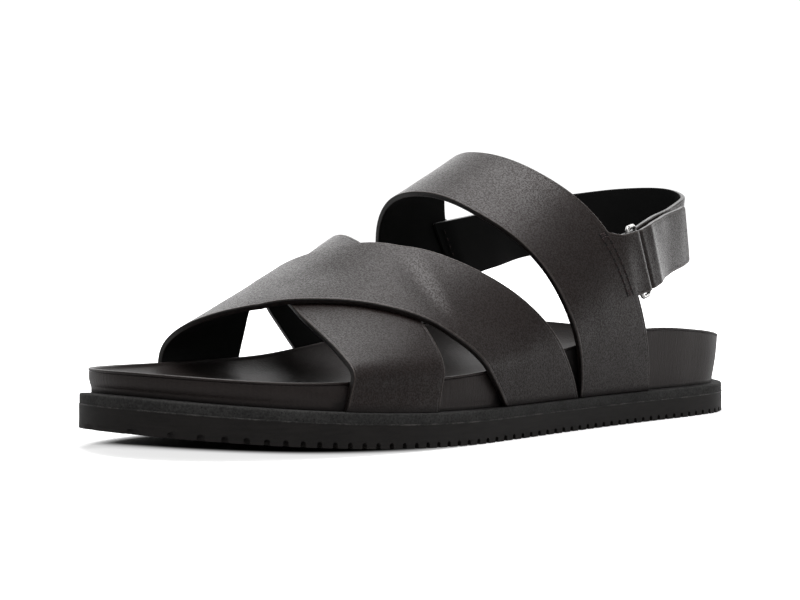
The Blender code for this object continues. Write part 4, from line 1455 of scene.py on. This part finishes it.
def beyond_outline(points, outline):
    """Distance of points on the floor beyond an outline, below zero inside it."""
    after = np.roll(outline, -1, axis=0)
    run = after - outline
    nearest = np.full(len(points), np.inf)
    inside = np.zeros(len(points), bool)
    for start, end, step in zip(outline, after, run):
        gap = points - start
        part = np.clip((gap @ step) / (step @ step), 0, 1)
        nearest = np.minimum(nearest, np.linalg.norm(gap - part[:, None] * step, axis=1))
        crossed = (start[1] > points[:, 1]) != (end[1] > points[:, 1])
        reach = start[0] + (points[:, 1] - start[1]) * step[0] / (step[1] if step[1] else 1e-9)
        inside ^= crossed & (points[:, 0] < reach)
    return np.where(inside, -nearest, nearest)


def floor_places(near):
    """Places along one side of the floor's grid, which is fine only round the shoe."""
    fine = list(np.arange(-near, near + 1, FLOOR_STEP))
    return np.array([-reach for reach in FLOOR_FAR[::-1]] + fine + FLOOR_FAR)


def floor():
    """White floor under the shoe as the camera sees it; it glows, and its soft contact shadow is painted
    into its colour and glow.
    """
    across = floor_places(FLOOR_NEAR[0])
    along = floor_places(FLOOR_NEAR[1])
    grid = np.array([(x, y) for y in along for x in across])
    count = len(across)
    faces = [(i, i + 1, i + count + 1, i + count)
             for row in range(len(along) - 1) for i in range(row * count, row * count + count - 1)]
    finish = Finish("studio_floor", Roughness=0.9, Specular_IOR_Level=0.1, Emission_Strength=1.0)
    beyond = finish.attribute("beyond")
    white = finish.mix(finish.noise(400, 2.0), (0.90, 0.90, 0.90), (0.92, 0.92, 0.92))
    # Painted contact shadow: darker colour and no glow inside the shadow's outline, rising to full glow
    # away from the shoe.
    finish.colour(beyond.step(-9, 4), (0.16, 0.16, 0.16), white)
    near = finish.mix(beyond.step(-7, 5), (0.0, 0.0, 0.0), (0.78, 0.78, 0.78))
    finish.set("Emission Color", finish.mix(beyond.step(0, 70), near, (1.2, 1.2, 1.2)))
    points = [(x * MM, y * MM, 0.0) for x, y in grid]
    seen = studio_object("studio_floor", points, faces, finish.material)
    distances = np.clip(beyond_outline(grid, shadow_outline()), -200, 200)
    widened = 1 + TIP_SOFTNESS * rise(grid[:, 1], TIP_FROM, -TIP_REACH)
    write_attribute(seen, "beyond", distances / widened)
    show_to_camera_only(seen)


def bounce():
    """Grey floor that is never seen and only throws light back on the shoe."""
    finish = Finish("studio_bounce", Base_Color=(0.45, 0.45, 0.45), Roughness=0.9,
                    Specular_IOR_Level=0.1)
    corners = [(x * BOUNCE_REACH, y * BOUNCE_REACH, -0.0002)
               for x, y in ((-1, -1), (1, -1), (1, 1), (-1, 1))]
    grey = studio_object("studio_bounce", corners, [(0, 1, 2, 3)], finish.material)
    grey.visible_camera = False


def backdrop():
    """White shell round the studio, seen behind the shoe but giving it no light."""
    finish = Finish("studio_backdrop", Base_Color=(0.0, 0.0, 0.0), Specular_IOR_Level=0.0,
                    Emission_Color=(1.0, 1.0, 1.0), Emission_Strength=1.1)
    form = bmesh.new()
    bmesh.ops.create_uvsphere(form, u_segments=48, v_segments=24, radius=BACKDROP_RADIUS)
    points = [tuple(point.co) for point in form.verts]
    faces = [tuple(point.index for point in face.verts) for face in form.faces]
    form.free()
    show_to_camera_only(studio_object("studio_backdrop", points, faces, finish.material))


# Softboxes: direction from the shoe on the camera's own right, away and up; brightness, width, height.
SOFTBOXES = (
    ("overhead", (0.0, 0.0, 1.0), 4.1, 2.0, 2.0),
    ("overhead_front_right", (0.57, -0.57, 0.7), 0.7, 2.0, 2.0),
    ("overhead_behind", (0.0, 1.0, 1.0), 0.66, 2.0, 2.0),
    ("behind", (0.0, 1.0, 0.34), 1.26, 5.6, 2.1),
    ("low_behind_right", (0.5, 0.87, 0.08), 0.65, 2.0, 0.5),
    ("low_right", (0.87, 0.5, 0.08), 0.95, 2.0, 0.5),
)
LIGHT_DISTANCE = 2.8
LIGHT_AIM_HEIGHT = 0.04
WORLD_BRIGHTNESS = 0.21


def softbox(name, towards, brightness, width, height):
    """A rectangular studio light that faces the shoe, with its brightness as seen from there."""
    level = CAMERA_RIGHT * towards[0] + CAMERA_AWAY * towards[1]
    direction = (level + Vector((0.0, 0.0, towards[2]))).normalized()
    data = bpy.data.lights.new(name, "AREA")
    data.shape = "RECTANGLE"
    data.size = width
    data.size_y = height
    data.energy = brightness * math.pi * width * height
    light = scene_object(name, data)
    light.location = direction * LIGHT_DISTANCE + Vector((0.0, 0.0, LIGHT_AIM_HEIGHT))
    light.rotation_euler = (-direction).to_track_quat("-Z", "Y").to_euler()


def studio():
    floor()
    bounce()
    backdrop()
    world = bpy.data.worlds.new("studio")
    world.use_nodes = True
    background = world.node_tree.nodes["Background"]
    background.inputs["Color"].default_value = (1.0, 1.0, 1.0, 1.0)
    background.inputs["Strength"].default_value = WORLD_BRIGHTNESS
    bpy.context.scene.world = world
    for sizes in SOFTBOXES:
        softbox(*sizes)
    bpy.context.scene.view_settings.view_transform = "Standard"


def camera():
    """Long lens, low on the outer side of the toe."""
    back = Vector((math.sin(AZIMUTH) * math.cos(ELEVATION), -math.cos(AZIMUTH) * math.cos(ELEVATION),
                   math.sin(ELEVATION)))
    up = back.cross(CAMERA_RIGHT)
    tilted_right = CAMERA_RIGHT * math.cos(ROLL) + up * math.sin(ROLL)
    tilted_up = up * math.cos(ROLL) - CAMERA_RIGHT * math.sin(ROLL)
    turn = Matrix((tilted_right, tilted_up, back)).transposed()
    data = bpy.data.cameras.new("camera")
    data.lens = LENS
    data.sensor_width = SENSOR
    view = scene_object("camera", data)
    view.matrix_world = Matrix.Translation(CAMERA_PLACE) @ turn.to_4x4()
    bpy.context.scene.camera = view


# ------------------------ assembly
def build():
    finishes = make_finishes()
    for make in (outsole_body, outsole_ripples, midsole, footbed, crossed_bands, instep_strap, ring,
                 heel_strap):
        make(finishes)
    fastener_pad("loop_tape_pad", "loop_pad", STRAP_DEPTH / 2 + GAP, finishes["loops"])
    fastener_pad("hook_tape_pad", "hook_pad", STRAP_DEPTH / 2 + 2 * GAP + FASTENER_DEPTH,
                 finishes["hooks"])
    sewing(finishes)
    studio()
    camera()


build()
